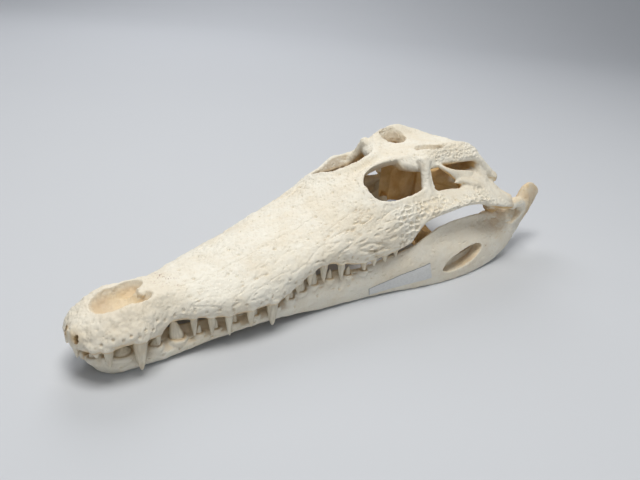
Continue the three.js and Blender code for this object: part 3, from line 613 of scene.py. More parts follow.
def table_corner(side):
    """The flange from a rear corner of the table down to the prong beside the ear."""
    return rod(
        side, (95.5, 11.8, 25.6, 1, 0.8), (99, 12.7, 24, 1.4, 1.1), (101.6, 14.2, 21.2, 1.5, 1.2),
        (103, 15.9, 19.8, 1.1, 0.8),
    )


# ---------- openings ----------

EYE = {"x": 73.1, "y": 7.6, "z": 22.0, "front": 8.2, "rear": 9.4, "half": 4.9, "tilt": 27.0}
EYE_COUNT = 72  # points round an eye opening
RIM_COUNT = 48  # points round the middle of its rim
RIM_RADIUS = 0.62


def eye_outline(grow, count):
    """The oval of an eye opening in its own plane, `grow` larger: four cubic Bezier arcs round its
    middle, u^3 a + 3 u^2 t b + 3 u t^2 c + t^3 d with u = 1 - t."""
    f, r, h = EYE["front"] + grow, EYE["rear"] + grow, EYE["half"] + grow
    arcs = [
        [(-f, -0.25 * h), (-f, 0.6 * h), (-0.6 * f, 1.16 * h), (0, 1.16 * h)],
        [(0, 1.16 * h), (0.55 * r, 1.16 * h), (0.96 * r, 0.8 * h), (r, 0.1 * h)],
        [(r, 0.1 * h), (r, -0.8 * h), (0.6 * r, -h), (0, -h)],
        [(0, -h), (-0.6 * f, -h), (-f, -0.85 * h), (-f, -0.25 * h)],
    ]
    a, b, c, d = np.moveaxis(np.array(arcs), 1, 0)[:, :, None]
    t = (np.arange(count // 4) / (count // 4))[:, None]
    u = 1 - t
    return (u**3 * a + 3 * u * u * t * b + 3 * u * t * t * c + t**3 * d).reshape(-1, 2)


def eye_place(flat, height, side):
    """Points of the eye's plane at a height above it, turned to look out and up on one side."""
    t = math.radians(EYE["tilt"])
    across = flat[..., 1]
    y = EYE["y"] - across * math.cos(t) + height * math.sin(t)
    z = EYE["z"] + across * math.sin(t) + height * math.cos(t)
    return np.stack([EYE["x"] + flat[..., 0], side * y, z], -1)


def eye_socket(side):
    """A plug through the roof whose section is the eye's oval."""
    heights = np.array([-5.0, -3, -1, 1, 3, 6])
    flat = np.broadcast_to(eye_outline(0.0, EYE_COUNT), (len(heights), EYE_COUNT, 2))
    return skin(eye_place(flat, heights[:, None] * np.ones(EYE_COUNT), side))


def eye_rim(side):
    """The thick rounded lip round an eye: three closed tubes that follow the roof's height round the
    oval. They lie in one place, but over the rear of the right eye they stand on each other."""
    flat = eye_outline(RIM_RADIUS, RIM_COUNT)
    height = np.zeros(len(flat))
    for _ in range(6):
        spot = eye_place(flat, height, side)
        height += 0.8 * (roof_over(spot[:, 0], spot[:, 1]) - spot[:, 2])
    lift = band(spot[:, 0], 73, 83.5, 3.5) * smoothstep(0.0, 2.5, -flat[:, 1]) * (side > 0)
    paths = [eye_place(flat, height - 0.35 + k * lift, side) for k in (0, 0.8, 1.5)]
    return join([hoop(path, RIM_RADIUS, 3, 14) for path in paths])


def table_window(side):
    """The slanting oval funnel through the skull table: ovals that shrink and shift downwards."""
    z = np.array([28.5, 26.6, 25.6, 24.4, 21.5])
    x = Rail((21.5, 90), (24.4, 89.4), (26.6, 88.6), (28.5, 88.6))(z)[:, None]
    y = Rail((21.5, 6.2), (24.4, 5.7), (26.6, 5.2), (28.5, 5.2))(z)[:, None]
    a = Rail((21.5, 2), (24.4, 2.8), (26.6, 3.7), (28.5, 4.4))(z)[:, None]
    b = Rail((21.5, 1.7), (24.4, 2.3), (26.6, 3.3), (28.5, 4.1))(z)[:, None]
    t = circle(40)
    across = side * (y + b * np.sin(t) + 0.25 * np.cos(t))
    return skin(np.stack([x + a * np.cos(t), across, z[:, None] * np.ones(40)], -1))


def nostril_solids():
    """The nostril: a long basin whose rear end is parted by the blunt point of the nasal bones, and the
    small holes in front of it."""
    return [
        egg(8.4, 0, 12.6, 4.9, 3.5, 3.3),
        egg(11.3, -2.2, 12.9, 3.0, 1.7, 3.2),
        egg(12.2, 2.1, 12.9, 3.0, 1.6, 3.2),
        egg(1.0, -1.75, 8.1, 1.6, 0.4, 0.75),
        egg(1.0, 1.75, 8.1, 1.6, 0.4, 0.75),
    ]


def nasal_knob():
    """The blunt point of the nasal bones that stands into the nostril."""
    return rod(
        1, (15.6, -0.3, 11.3, 1.1, 0.6), (14.2, -0.5, 11.5, 0.95, 0.6), (12.9, -0.8, 11.6, 0.75, 0.55)
    )


def palate_window(side):
    """The long opening in the palate: a blunt rod that widens backwards."""
    return rod(
        side, (53, 5.6, 8.5, 0.5, 3), (58, 6.8, 8.5, 2.4, 4), (65, 7.8, 9, 3.4, 5), (72, 8.8, 9, 3.2, 5)
    )


# ---------- pieces under the roof ----------

core_half = Rail((80, 1.6), (84, 2.6), (88, 3.0), (92, 4.2), (95, 7.6), (100.4, 9.4))
core_flare = Rail((80, 6.2), (83, 7), (85, 4.6), (88, 3.6), (92, 4.8), (95, 8.2), (100.4, 9.6))
core_low = Rail((80, 16), (85, 13), (90, 11), (96, 9), (100.4, 8.6))


def braincase():
    """The walls round the brain: rings that flare under the roof and widen backwards."""
    x = np.arange(80, 100.41, 0.4)
    half = grid(
        (0.0, 25.4),
        (core_flare(x), 24.8),
        (core_half(x) + 0.3, 22.2),
        (core_half(x), 19.0),
        (core_half(x) * 0.85, 14.0),
        (core_half(x) * 0.45, core_low(x)),
        (0.0, core_low(x)),
    )
    return skin(closed_spline(mirrored(x, half), 5))


def occiput():
    """The plate at the back of the head with its side processes: one outline carried through four
    stations."""
    outline = [
        (0, 25.6), (8, 25.6), (11.4, 25.2), (13, 24), (15.4, 20.6), (16.2, 19.6), (15.2, 18.3),
        (10.6, 18), (7.6, 15), (4.8, 11.8), (3.6, 8.4), (0, 8),
    ]
    x = np.array([97.9, 98.4, 100.0, 100.5])
    swell = np.array([0.92, 1.0, 1.0, 0.94])
    middle = np.array([0, 17.0])
    half = middle + (np.array([outline], float) - middle) * swell[:, None, None]
    return skin(closed_spline(mirrored(x, half), 4))


def rear_bones():
    """Everything behind and below the roof. On each side: the bone that carries the jaw joint, the sheet
    above it and its knob, the strut beside the ear, the post behind the eye, the strut in front of the
    brain and the one from the palate's wing to the cheek."""
    parts = [
        occiput(),
        egg(101.2, 0, 15.8, 2.1, 2, 1.6),
        braincase(),
        rod(
            1, (53, 0, 10.4, 3.4, 1), (58, 0, 10.6, 3, 1.3), (66, 0, 10.8, 2.7, 1.4),
            (73, 0, 10.6, 2.9, 1.4), (79, 0, 10.4, 3.6, 1.6),
        ),
        wing_plate(),
    ]
    for side in SIDES:
        parts += [
            rod(
                side, (89, 5.5, 20.4, 1.6, 2.2), (93, 9.4, 20, 2.6, 2.2), (96.8, 13, 18.8, 3.4, 2.1),
                (100.6, 17, 16.4, 3.5, 1.9), (103.6, 19.8, 14.8, 2.5, 1.8),
            ),
            rod(side, (90.5, 13.2, 20.8, 1.2, 0.6), (95, 15.6, 19.6, 1.8, 0.9)),
            ear_sheet(side),
            egg(101.9, 17 * side, 13.4, 2.3, 2.1, 2.2),
            rod(side, (98.6, 9.4, 20.4, 1.3, 2), (101, 12.8, 20.2, 1.2, 1.5), (103, 16, 19.5, 1, 0.8)),
            rod(
                side, (82.4, 8.4, 25.2, 1.9, 1.6), (81.7, 9.5, 23.7, 1.15, 1.2), (81, 10.4, 22, 0.95, 1),
                (80.2, 11.5, 20.2, 1.1, 1.1), (79.5, 12.6, 18.6, 1.9, 1.6),
            ),
            rod(side, (65.5, 5.2, 20.8, 1.2, 1.6), (66.4, 4, 16, 0.7, 1), (67, 2.4, 11, 0.9, 1.6)),
            rod(
                side, (84.5, 12, 6.2, 1.1, 2.2), (79.5, 12, 8.8, 1, 1.7), (75.5, 12.4, 13, 1, 1.3),
                (72, 13.6, 17, 1.5, 1.5),
            ),
            quadrate_wing(side),
            cheek_bar(side),
            table_corner(side),
        ]
    return parts


def quadrate_wing(side):
    """The thin wall between the braincase and the jaw joint: an upright strip along a plan line."""
    t = np.linspace(0, 1, 24)
    x = Rail((0, 87.5), (0.3, 91), (0.6, 94.4), (1, 100.6))(t)
    y = Rail((0, 3.4), (0.3, 6.6), (0.6, 10.4), (1, 16.8))(t)
    top = Rail((0, 23), (0.3, 22), (0.6, 20.6), (1, 17))(t)
    low = Rail((0, 12.5), (0.5, 13), (1, 13.8))(t)
    thick = 0.45
    rows = grid(
        (x + thick, side * (y - thick), top),
        (x - thick, side * (y + thick), top),
        (x - thick, side * (y + thick), (top + low) / 2),
        (x - thick, side * (y + thick), low),
        (x + thick, side * (y - thick), low),
        (x + thick, side * (y - thick), (top + low) / 2),
    )
    return skin(rows)


def ear_sheet(side):
    """The thin sheet between the opening behind the eye and the ear, carried between two edges from the
    table down to the cheek, and the small spike on its front edge."""
    t = np.linspace(0, 1, 24)
    front = [
        Rail((0, 84.8), (0.4, 87), (0.75, 89.4), (1, 91.6))(t),
        Rail((0, 10.3), (0.16, 11.9), (0.4, 12.7), (0.75, 13.2), (1, 14.4))(t),
        Rail((0, 24.5), (0.16, 23.6), (0.4, 22.6), (0.75, 20.9), (1, 19.4))(t),
    ]
    back = [
        Rail((0, 85.5), (0.4, 90), (0.75, 93.5), (1, 97))(t),
        Rail((0, 9.9), (0.16, 11.2), (0.4, 11.9), (0.75, 12.3), (1, 13))(t),
        Rail((0, 24.6), (0.16, 23.7), (0.4, 22.8), (0.75, 22.1), (1, 21.5))(t),
    ]
    middle = [(a + b) / 2 for a, b in zip(front, back)]
    thick = 0.34
    rows = grid(
        (front[0], side * (front[1] + thick), front[2] + thick),
        (middle[0], side * (0.3 + middle[1] + thick), middle[2] + thick),
        (back[0], side * (back[1] + thick), back[2] + thick),
        (back[0], side * (back[1] - thick), back[2] - thick),
        (front[0], side * (front[1] - thick), front[2] - thick),
    )
    spike = rod(
        side, (91, 13.8, 20.1, 0.7, 0.5), (89.4, 13.6, 20.4, 0.4, 0.35), (87.9, 13.5, 20.5, 0.12, 0.12)
    )
    return join(skin(rows), spike)


WING = 13.2  # half width of the wing plate


def wing_plate():
    """The winged plate at the rear of the palate: a lens section in X and Z for each place across it."""
    y = np.linspace(-WING, WING, 67)
    u = np.abs(y) / WING
    drop = 10.2 - 5.2 * u**1.5
    round_end = 2.2 * np.clip((u - 0.85) / 0.15, 0, 1) ** 2
    a = 75.5 + 0.36 * np.abs(y) + round_end
    b = Rail((0, 90.5), (3, 91.5), (8, 88.5), (WING, 88.5))(np.abs(y)) - round_end
    slope = 0.07 * (b - a)
    thick = 0.75 + 0.03 * np.abs(y)
    rows = grid(
        (a, y, drop + slope),
        ((a + b) / 2, y, drop + thick),
        (b, y, drop - slope + 0.5),
        (b, y, drop - slope - 0.4),
        ((a + b) / 2, y, drop - thick),
        (a, y, drop + slope - 0.8),
    )
    return skin(closed_spline(rows, 5))


# ---------- teeth ----------

RAKED = 1.25  # radius of the large lower tooth in the notch, which leans forwards
# Teeth of one side as station, length, radius, in percent.
UPPER_TEETH = [
    (0.75, 2.2, 0.5), (2.2, 1, 0.6), (3.8, 3.2, 0.75), (8.9, 5.6, 1.15), (12.9, 2, 0.55),
    (19.7, 3.6, 0.65), (22.7, 3.5, 0.7), (25.8, 4.1, 0.75), (30, 3.5, 0.8), (35, 4.9, 1.15),
    (38.5, 1.7, 0.6), (41.3, 2, 0.65), (44.3, 2.6, 0.7), (47.8, 3.8, 0.85), (52.2, 3.6, 0.8),
    (57.8, 1.8, 0.75), (60.4, 1.6, 0.7), (63.3, 1.6, 0.7), (66.2, 1.5, 0.6),
]
LOWER_TEETH = [
    (3, 2.2, 0.6), (4.8, 1.8, 0.6), (7.2, 1.6, 1.5), (12.9, 1.5, 0.9), (17.2, 4.1, 1.25), (21, 1.8, 0.5),
    (24.2, 2, 0.6), (28, 2.2, 0.65), (32.3, 2, 0.6), (37, 2, 0.6), (40.4, 2.6, 0.75), (43.2, 3, 0.85),
    (46.2, 3, 0.8), (50, 2.2, 0.7), (54.6, 2, 0.65), (58.6, 1.8, 0.6),
]


def tooth(x, y, z, length, radius, lean, up, rake=0.0):
    """A cone of half width r (1 + 0.06 sin(2.2 pi h) - 0.16 h) sqrt(1 - h^1.7) at the height h from 0 to 1:
    it swells a little above its root and ends in a blunt point. Its axis leans out with h^1.6 and rakes
    along the jaw with h^1.3."""
    v = np.linspace(-0.35, 1, 26)
    h = np.clip(v, 0, 1)
    swell = 1 + 0.06 * np.sin(math.pi * np.clip(h * 2.2, 0, 1)) - 0.16 * h
    wide = np.maximum(radius * swell * np.sqrt(np.clip(1 - h**1.7, 0, 1)), 0.03)[:, None]
    angle = circle(20)
    keel = 1 + 0.05 * np.cos(2 * angle)
    cx = (x + rake * h**1.3 * length)[:, None]
    cy = (y + math.copysign(1, y) * lean * h**1.6)[:, None]
    cz = (z + up * v * length)[:, None] * np.ones(20)
    return skin(np.stack([cx + wide * keel * np.cos(angle), cy + 0.9 * wide * np.sin(angle), cz], -1))


def upper_tooth_y(x, radius):
    """The distance of an upper tooth from the middle: just inside the widest line."""
    return 0.6 if x < 1 else max(float(half_width(x)) - 0.8 - 0.3 * radius, 1.1)


def upper_row(side):
    """The upper teeth of one side: the right one at the tip has fallen out."""
    return [stop for stop in UPPER_TEETH if side < 0 or stop[0] > 1]


def upper_teeth(side):
    """The upper teeth of one side, which point down."""
    return [
        tooth(x, side * upper_tooth_y(x, r), float(margin_height(x)) + 0.2, length, r, 0.35, -1)
        for x, length, r in upper_row(side)
    ]


def upper_sockets(side):
    """The collars of bone round the upper teeth, which scallop the margin."""
    out = []
    for x, _, r in upper_row(side):
        y, z = side * (upper_tooth_y(x, r) - 0.1), float(margin_height(x)) + 0.75
        out.append(egg(x, y, z, 1.25 * r + 0.35, 1.1 * r + 0.3, 1.0))
    return out


# ---------- the lower jaw ----------

jaw_outer = Rail(
    (2.2, 1.4), (3, 2.8), (4.8, 4.4), (7, 5.5), (9.6, 6), (15, 6.4), (21, 7.4), (27, 8.6), (33, 9.7),
    (38, 10.4), (44, 11.1), (48, 11.7), (56, 13.3), (62, 14.8), (68, 16.6), (73, 18.4), (80, 20.3),
    (86, 21.4), (92, 21.8), (98, 22), (104, 21.8), (109, 21), (115, 20.1), (123, 19.2),
)
jaw_thick = Rail(
    (13.5, 6), (17, 4.6), (22, 3.9), (30, 3.4), (50, 3.1), (65, 3.2), (76, 3.6), (88, 4), (96, 4.6),
    (102, 6.4), (107, 6.2), (111, 4.8), (116, 3.4), (123, 2.6),
)
jaw_top = Rail(
    (2.2, 3.6), (4, 4), (10, 3.9), (15, 3.7), (20, 3.6), (26, 3.7), (33, 4.2), (38, 4.7), (42, 5.8),
    (46, 6.8), (50, 7.1), (56, 6.9), (61, 7.4), (65.5, 8.2), (71.6, 9.9), (76, 11.7), (80, 12.6),
    (86.7, 13), (93, 12.6), (98.6, 11.9), (104, 11.8), (109, 12.3), (114.4, 12.6), (115.8, 14.2),
    (116.9, 15.5), (118.6, 15.9), (121, 15.4), (123, 14.3),
)
jaw_low = Rail(
    (2.2, 2.6), (3.6, 1.1), (6, -0.1), (9.5, -0.1), (14.8, 0.15), (20.6, 0.9), (26.8, 1.6), (33, 1.9),
    (38, 1.6), (42.6, 1.1), (48, 0.5), (55.6, 0.25), (61.6, 0.2), (68, 0.12), (74, 0), (80, -0.12),
    (87, -0.1), (95, 0.1), (101, 0.8), (106, 2.2), (110, 3.9), (115, 6.1), (119, 8), (121.4, 9.8),
    (123, 12),
)
jaw_keel = Rail((2.2, 0.5), (5, 1.4), (10, 1.6), (14, 0.9), (20, 0.6), (60, 0.4), (80, 0.3), (123, 0.4))
SYMPHYSIS_END = 13.5


def jaw_lean(x):
    """How far the upper edge of the jaw leans inwards."""
    return smoothstep(70, 86, x) * 3.2 * (1 - smoothstep(96, 108, x))


def jaw_solid(side):
    """One half of the jaw: closed splines through eight points round each station's section."""
    x = np.concatenate([np.linspace(2.2, 4, 12), np.arange(4.3, 123.01, 0.35)])
    outer = jaw_outer(x)
    inner = np.where(x < SYMPHYSIS_END, 0.02, outer - jaw_thick(x))
    low, top = jaw_low(x), jaw_top(x)
    tall, wide, lean = top - low, outer - inner, jaw_lean(x)
    shelf = 1.1 * band(x, 15, 56, 3)
    rows = grid(
        (x, side * (inner + 0.45 * wide - 0.7 * lean), top),
        (x, side * (outer - 0.22 * wide - lean), top - 0.16 * tall),
        (x, side * (outer - 0.3 * lean), low + 0.5 * tall),
        (x, side * (outer - jaw_keel(x)), low + 0.06 * tall),
        (x, side * (inner + 0.5 * wide), low),
        (x, side * (inner + 0.1 * wide), low + 0.16 * tall),
        (x, side * inner, low + 0.55 * tall),
        (x, side * (inner + 0.08 * wide - 0.5 * lean), top - 0.12 * tall + shelf),
    )
    return skin(closed_spline(rows, 8))


channel_depth = Rail((72, 9), (76, 6), (80, 3.4), (90, 3.3), (95, 5), (99.5, 7.6))
channel_reach = Rail((72, 2), (78, 1.6), (88, 1.5), (95, 2), (99.5, 3.6))
channel_lean = Rail((72, 0.6), (78, 2.1), (83, 3.4), (88, 4), (96, 3.8), (99.5, 3))


def jaw_channel(side):
    """The deep channel in the rear half of the jaw, open above and on the inside."""
    x = np.linspace(72, 99.5, 50)
    outer = jaw_outer(x) - channel_reach(x)
    inner = jaw_outer(x) - jaw_thick(x) - 4
    top, depth, lean = jaw_top(x), channel_depth(x), channel_lean(x)
    rows = grid(
        (x, side * (outer - lean), top + 1),
        (x, side * (outer - lean), top - 0.2 * (top - depth)),
        (x, side * (outer - 0.3 * lean), depth + 0.35 * (top - depth)),
        (x, side * (outer - 1), depth),
        (x, side * inner, depth),
        (x, side * inner, top + 1),
    )
    return skin(rows)


JAW_WINDOW = {"x": 86.1, "z": 4.7, "length": 7.2, "height": 1.9, "tilt": 10.0}


def jaw_window(side):
    """The oval window in the side of the jaw: one tilted ellipse carried across it."""
    t = circle(48)
    turn = math.radians(JAW_WINDOW["tilt"])
    a = JAW_WINDOW["length"] * np.cos(t)
    b = JAW_WINDOW["height"] * np.sin(t)
    x = JAW_WINDOW["x"] + a * math.cos(turn) - b * math.sin(turn)
    z = JAW_WINDOW["z"] + a * math.sin(turn) + b * math.cos(turn)
    return skin(np.stack([np.stack([x, np.full(48, y * side), z], -1) for y in (17.1, 19, 21, 23.5)]))


def lower_tooth_y(x, radius):
    """The distance of a lower tooth from the middle: just inside the jaw's outer face."""
    return np.maximum(jaw_outer(x) - 0.6 - 0.85 * radius, 1.3)


def lower_teeth(side):
    """The lower teeth of one side, which point up."""
    out = []
    for x, length, r in LOWER_TEETH:
        y, z = side * float(lower_tooth_y(x, r)), float(jaw_top(x)) - 0.3
        out.append(tooth(x, y, z, length, r, 0.15, 1, -0.25 if r == RAKED else 0.0))
    return out


def lower_sockets(side):
    """The collars of bone round the lower teeth."""
    out = []
    for x, _, r in LOWER_TEETH:
        y, z = side * (float(lower_tooth_y(x, r)) + 0.1), float(jaw_top(x)) - 0.5
        out.append(egg(x, y, z, 1.3 * r + 0.35, 1.15 * r + 0.35, 1.0))
    return out


def inner_wall(side):
    """The low wall on the inner side of the jaw, behind its window: an upright strip that narrows
    upwards and ends below the window's upper edge."""
    x = np.linspace(75.5, 97, 44)
    y = jaw_outer(x) - jaw_thick(x) + 0.3
    top = Rail((75.5, 3.4), (80, 3.4), (83, 3.8), (87, 4.1), (92, 4.4), (97, 5.2))(x)
    corners = ((-0.5, 2.6), (0.5, 2.6), (0.35, top), (-0.35, top))
    return skin(grid(*((x, side * (y + off), z) for off, z in corners)))


def joint_lip(side):
    """The raised lip behind the jaw joint, which turns down and forwards on the outer side."""
    return rod(
        side, (106.2, 20.2, 13.3, 1.3, 1.3), (108.2, 20.3, 13.5, 1.5, 1.3), (110.2, 20.2, 12.8, 1.6, 1.3),
        (111.2, 20.3, 11.3, 1.4, 1.2), (109.6, 20.6, 9.6, 1, 1), (106.3, 20.9, 8.3, 0.6, 0.6),
    )


# ---------- relief of the bone's surface ----------


def roof_over(x, y):
    """The height of the outer skin over a plan point: straight lines between the rails across a station."""
    y = np.abs(y)
    knots_y = [np.zeros_like(x), crest_y(x), cheek_y(x), shoulder_y(x), half_width(x)]
    knots_z = [roof_height(x), crest_height(x), cheek_height(x), shoulder_height(x)]
    knots_z.append(margin_height(x) + SIDE_RISE)
    out = knots_z[-1]
    for k in (3, 2, 1, 0):
        y0, y1, z0, z1 = knots_y[k], knots_y[k + 1], knots_z[k], knots_z[k + 1]
        t = np.clip((y - y0) / np.maximum(y1 - y0, 1e-6), 0, 1)
        out = np.where(y < y1, z0 + (z1 - z0) * t, out)
    return out


def inside_skull(p):
    """How far a point lies inside the head: 0 on the outer skin, 1 well under the roof and behind the
    cheeks."""
    x, y, z = p.T
    under = smoothstep(0.9, 2.2, roof_over(np.minimum(x, FACE_REAR), y) - z)
    from_side = half_width(x) - np.abs(y)
    face = under * smoothstep(0.9, 2.0, from_side) * smoothstep(58, 61, x) * (x < FACE_REAR)
    table = smoothstep(1.6, 3.4, table_top(x) - z) * smoothstep(1.6, 3.2, from_side)
    rear = table * (x >= FACE_REAR) * (1 - smoothstep(98, 100, x))
    sheet = smoothstep(12.4, 13.6, np.abs(y)) * smoothstep(91, 93, x)
    return np.maximum(face, rear * (1 - sheet))


def dashes(p, seed, long, across, low, high, share):
    """Dents drawn out along the snout, on a lattice spaced `long` by `across` that drifts slowly
    sideways."""
    drift = 0.5 * value_noise(p * 0.16, seed + 9)
    q = np.stack([p[:, 0] / long, (p[:, 1] + drift) / across, (p[:, 2] + 0.6 * drift) / across], -1)
    return pits(q, seed, low, high, share)


def only(p, mask, make, *settings):
    """make(points, *settings) times the mask, worked out only where the mask is above nothing."""
    out = np.zeros(len(p))
    on = mask > 0.02
    out[on] = make(p[on], *settings) * mask[on]
    return out


# Small holes for nerves on each flank of the snout, as station and share of the way from shoulder to side.
FORAMINA = [
    (2.6, 0.5), (4.2, 0.2), (5.6, 0.7), (6.9, 0.35), (8.2, 0.75), (9.6, 0.3), (11.2, 0.6), (12.6, 0.2),
    (14.2, 0.5), (16, 0.8), (17.6, 0.4), (19.4, 0.65), (21.3, 0.9), (23.6, 0.75), (26, 0.9), (28.6, 0.7),
    (31.4, 0.95), (34, 0.75), (37, 0.9), (40, 0.8), (43.4, 0.95), (46.8, 0.8), (50.5, 0.9), (54, 0.85),
]
# The same on the roof, as station and distance from the middle, and on the jaw, as station and share of
# its height.
ROOF_HOLES = [(23, 2.2), (29, 4.6), (34, 1.4), (40, 5.2), (47, 7.2), (53, 3.4), (60, 8.2), (66, 2.2)]
JAW_HOLES = [
    (6, 0.5), (8.4, 0.42), (11, 0.55), (13.6, 0.45), (16.8, 0.5), (19.6, 0.4), (23, 0.5), (27, 0.42),
    (31.6, 0.5), (36, 0.45), (41, 0.55), (46.5, 0.6), (52, 0.62), (70, 0.7), (91, 0.5), (95, 0.44),
]


def round_holes(p, spots, radius):
    """1 in the middle of each spot and of its mirror image, falling off as exp(-(d / radius)^2)."""
    q = p * np.array([1.0, 0.0, 1.0]) + np.abs(p) * np.array([0.0, 1.0, 0.0])
    out = np.zeros(len(p))
    for spot in spots:
        out = np.maximum(out, np.exp(-((q - spot) ** 2).sum(1) / radius**2))
    return out


def skull_holes(p):
    """The nerve holes of the flanks and the roof."""
    x, v = np.array(FORAMINA).T
    y = shoulder_y(x) + (half_width(x) - shoulder_y(x)) * v
    z = shoulder_height(x) + (margin_height(x) + SIDE_RISE - shoulder_height(x)) * v
    rx, ry = np.array(ROOF_HOLES).T
    spots = np.concatenate([np.stack([x, y, z], -1), np.stack([rx, ry, roof_over(rx, ry)], -1)])
    return round_holes(p, spots, 0.24)


def cheek_pits(p):
    """The net of walls and pits on the cheek bar, of uneven depth."""
    return comb(p / np.array([1.5, 1.2, 1.15]), 31) * (0.75 + 0.25 * value_noise(p * 0.7, 33))


def skull_relief(p, n):
    """The height added to the skull's surface, in percent, and how much painted shade its dents get. It
    sums a slow swell, lumps at the tip, dents whose length, depth and number follow the region, and the
    holes and seams. The nostril's rim stays smooth, and the slits at the tip and the holes are painted
    dark as shade."""
    x, y, z = p.T
    ay = np.abs(y)
    outer = (1 - inside_skull(p)) * smoothstep(-0.5, -0.15, n[:, 2])
    up = smoothstep(0.25, 0.75, n[:, 2])
    tip = 1 - smoothstep(13, 18, x)
    swell = 0.13 * value_noise(p * 0.42, 11) + 0.07 * value_noise(p * 0.95 + 7.3, 12)
    lumps = 0.15 * value_noise(p * 0.7, 15) + 0.1 * value_noise(p * 1.5, 16)
    swell = swell + lumps * tip * smoothstep(3.2, 4.4, ay + 4 - np.minimum(x, 4))
    grain = 0.06 * value_noise(p * 2.3, 17) + 0.035 * value_noise(p * 4.1, 18)
    # regions
    snout = outer * band(x, 15, 62, 3)
    flank = snout * smoothstep(2.5, 7.5, ay)
    fibre = outer * band(x, 49, 69, 5) * smoothstep(6, 9, ay) * (1 - smoothstep(18.6, 20, z))
    bar = band(x, 66, 95, 3.5) * smoothstep(12.9, 13.9, ay) * (1 - smoothstep(18.8, 19.8, z))
    bar = bar * outer * smoothstep(-0.5, 0.0, n[:, 2] + 0.35)
    edge = band(x, 84, 101, 1.5) * smoothstep(-2.9, -2.0, ay - table_half(x)) * smoothstep(24.7, 25.4, z)
    brow = outer * up * band(x, 57, 84, 3) * (1 - smoothstep(11.6, 12.6, ay))
    table = smoothstep(24.9, 25.6, z) * smoothstep(80, 82, x) * (1 - edge)
    # dents
    rim = band(x, 4, 15.5, 1) * smoothstep(10.4, 11.2, z + 3 * (ay < 3.6))
    fine = only(p, outer * (1 - bar) * (1 - rim), dashes, 41, 1.15, 0.62, 0.2, 0.42, 0.5)
    medium = only(p, snout * 0.55 + flank * 0.45, dashes, 51, 2.1, 0.95, 0.22, 0.46, 0.62)
    long = only(p, fibre, dashes, 61, 4.2, 0.9, 0.3, 0.56, 0.95)
    furrows = only(p, fibre, grooves, 63, 6.5, 1.25, 0.2)
    furrows = furrows + 0.45 * only(p, flank * (1 - fibre), grooves, 65, 5.0, 1.1, 0.16)
    honey = only(p, bar, cheek_pits)
    fretted = only(p / 0.85, edge, comb, 35)
    pocks = only(p / 1.1, np.maximum(brow, 0.6 * outer * tip * (1 - rim)), pits, 71, 0.2, 0.44, 0.75)
    specks = only(p / 0.75, table, pits, 81, 0.2, 0.42, 0.7)
    # grooves that run out from the nostril, and the seams beside the nasal bones
    turn = np.arctan2(y, x - 8.5)
    reach = np.hypot((x - 8.5) / 1.35, y)
    rays = np.cos(15 * turn + 3 * value_noise(p * 0.5, 91)) * band(reach, 4.3, 6.6, 0.8)
    rays = rays * tip * up * (1 - smoothstep(5, 8, x))
    wave = 0.35 * value_noise(p * np.array([0.8, 0.3, 0.3]), 92)
    seam = np.exp(-(((ay - 3.0 - wave - 0.012 * (x - 36)) / 0.16) ** 2)) * band(x, 18, 56, 2) * up
    trough = np.exp(-(((x - 63.2) / 3.2) ** 2) - ((ay - 12.9) / 1.0) ** 2) * outer
    holes = skull_holes(p) * outer
    deep = 0.2 * fine + 0.3 * medium + 0.34 * long + 0.26 * furrows + 0.68 * honey + 0.26 * fretted
    deep = deep + 0.3 * pocks + 0.16 * specks + 0.13 * seam
    height = swell * (0.35 + 0.65 * outer) + grain * (0.3 + 0.7 * outer) + 0.11 * rays
    # painted shade in the dents: how dark each kind of dent is painted
    pit_shade = 0.45 * fine + 0.7 * medium + 0.5 * long + 0.35 * furrows + 0.55 * honey**2 + 0.3 * fretted
    pit_shade = np.clip(pit_shade + 0.6 * pocks + 0.45 * specks, 0, 1) * 0.7
    # the slits at the tip are painted dark as shade, and so are the nerve holes
    slit = ((x - 1.0) / 1.8) ** 2 + ((ay - 1.75) / 0.55) ** 2 + ((z - 8.1) / 0.9) ** 2 < 1
    return height - deep - 0.5 * trough - 0.5 * holes, np.maximum.reduce([pit_shade, holes, slit])


def jaw_relief(p, n):
    """The same for the lower jaw: a slow swell, thin streaks and slits along it, a few holes, and a
    shallow moat round each tooth."""
    x, y, z = p.T
    ay = np.abs(y)
    outer = smoothstep(-0.3, 0.2, n[:, 1] * np.sign(y)) * smoothstep(-0.6, -0.2, n[:, 2])
    tip = 1 - smoothstep(14, 20, x)
    swell = 0.09 * value_noise(p * 0.5, 13) + 0.05 * value_noise(p * 1.2, 14)
    swell = swell + 0.12 * value_noise(p * 0.9, 19) * tip
    grain = 0.035 * value_noise(p * 2.5, 20)
    streaks = only(p, outer, dashes, 53, 3.6, 0.7, 0.2, 0.42, 0.45)
    rear = 0.5 + 0.5 * smoothstep(84, 92, x)
    slits = only(p, outer * rear, dashes, 54, 1.6, 0.62, 0.18, 0.36, 0.35)
    small = only(p / 1.2, outer * tip, pits, 42, 0.16, 0.36, 0.5)
    hx, hv = np.array(JAW_HOLES).T
    hz = jaw_low(hx) + hv * (jaw_top(hx) - jaw_low(hx))
    holes = round_holes(p, np.stack([hx, jaw_outer(hx) - 0.3 * jaw_lean(hx), hz], -1), 0.26) * outer
    tx, _, tr = np.array(LOWER_TEETH).T
    spots = np.stack([tx, lower_tooth_y(tx, tr), jaw_top(tx)], -1)
    moat = np.zeros(len(p))
    for spot, radius in zip(spots, tr):
        away = np.hypot(x - spot[0], ay - spot[1])
        ring = np.exp(-(((away - radius - 0.12) / 0.2) ** 2)) * smoothstep(-1.0, -0.5, z - spot[2])
        moat = np.maximum(moat, ring)
    moat = moat * smoothstep(0.0, 0.4, n[:, 2])
    deep = 0.24 * streaks + 0.3 * slits + 0.22 * small + 0.3 * moat
    # painted shade in the streaks, slits and small pits
    pit_shade = np.clip(0.35 * streaks + 0.8 * slits + 0.5 * small, 0, 1) * 0.7
    # the holes and the moat round each tooth are painted dark as shade
    return swell + grain - deep - 0.45 * holes, np.maximum.reduce([pit_shade, holes, 0.85 * moat])


# ---------- bones ----------

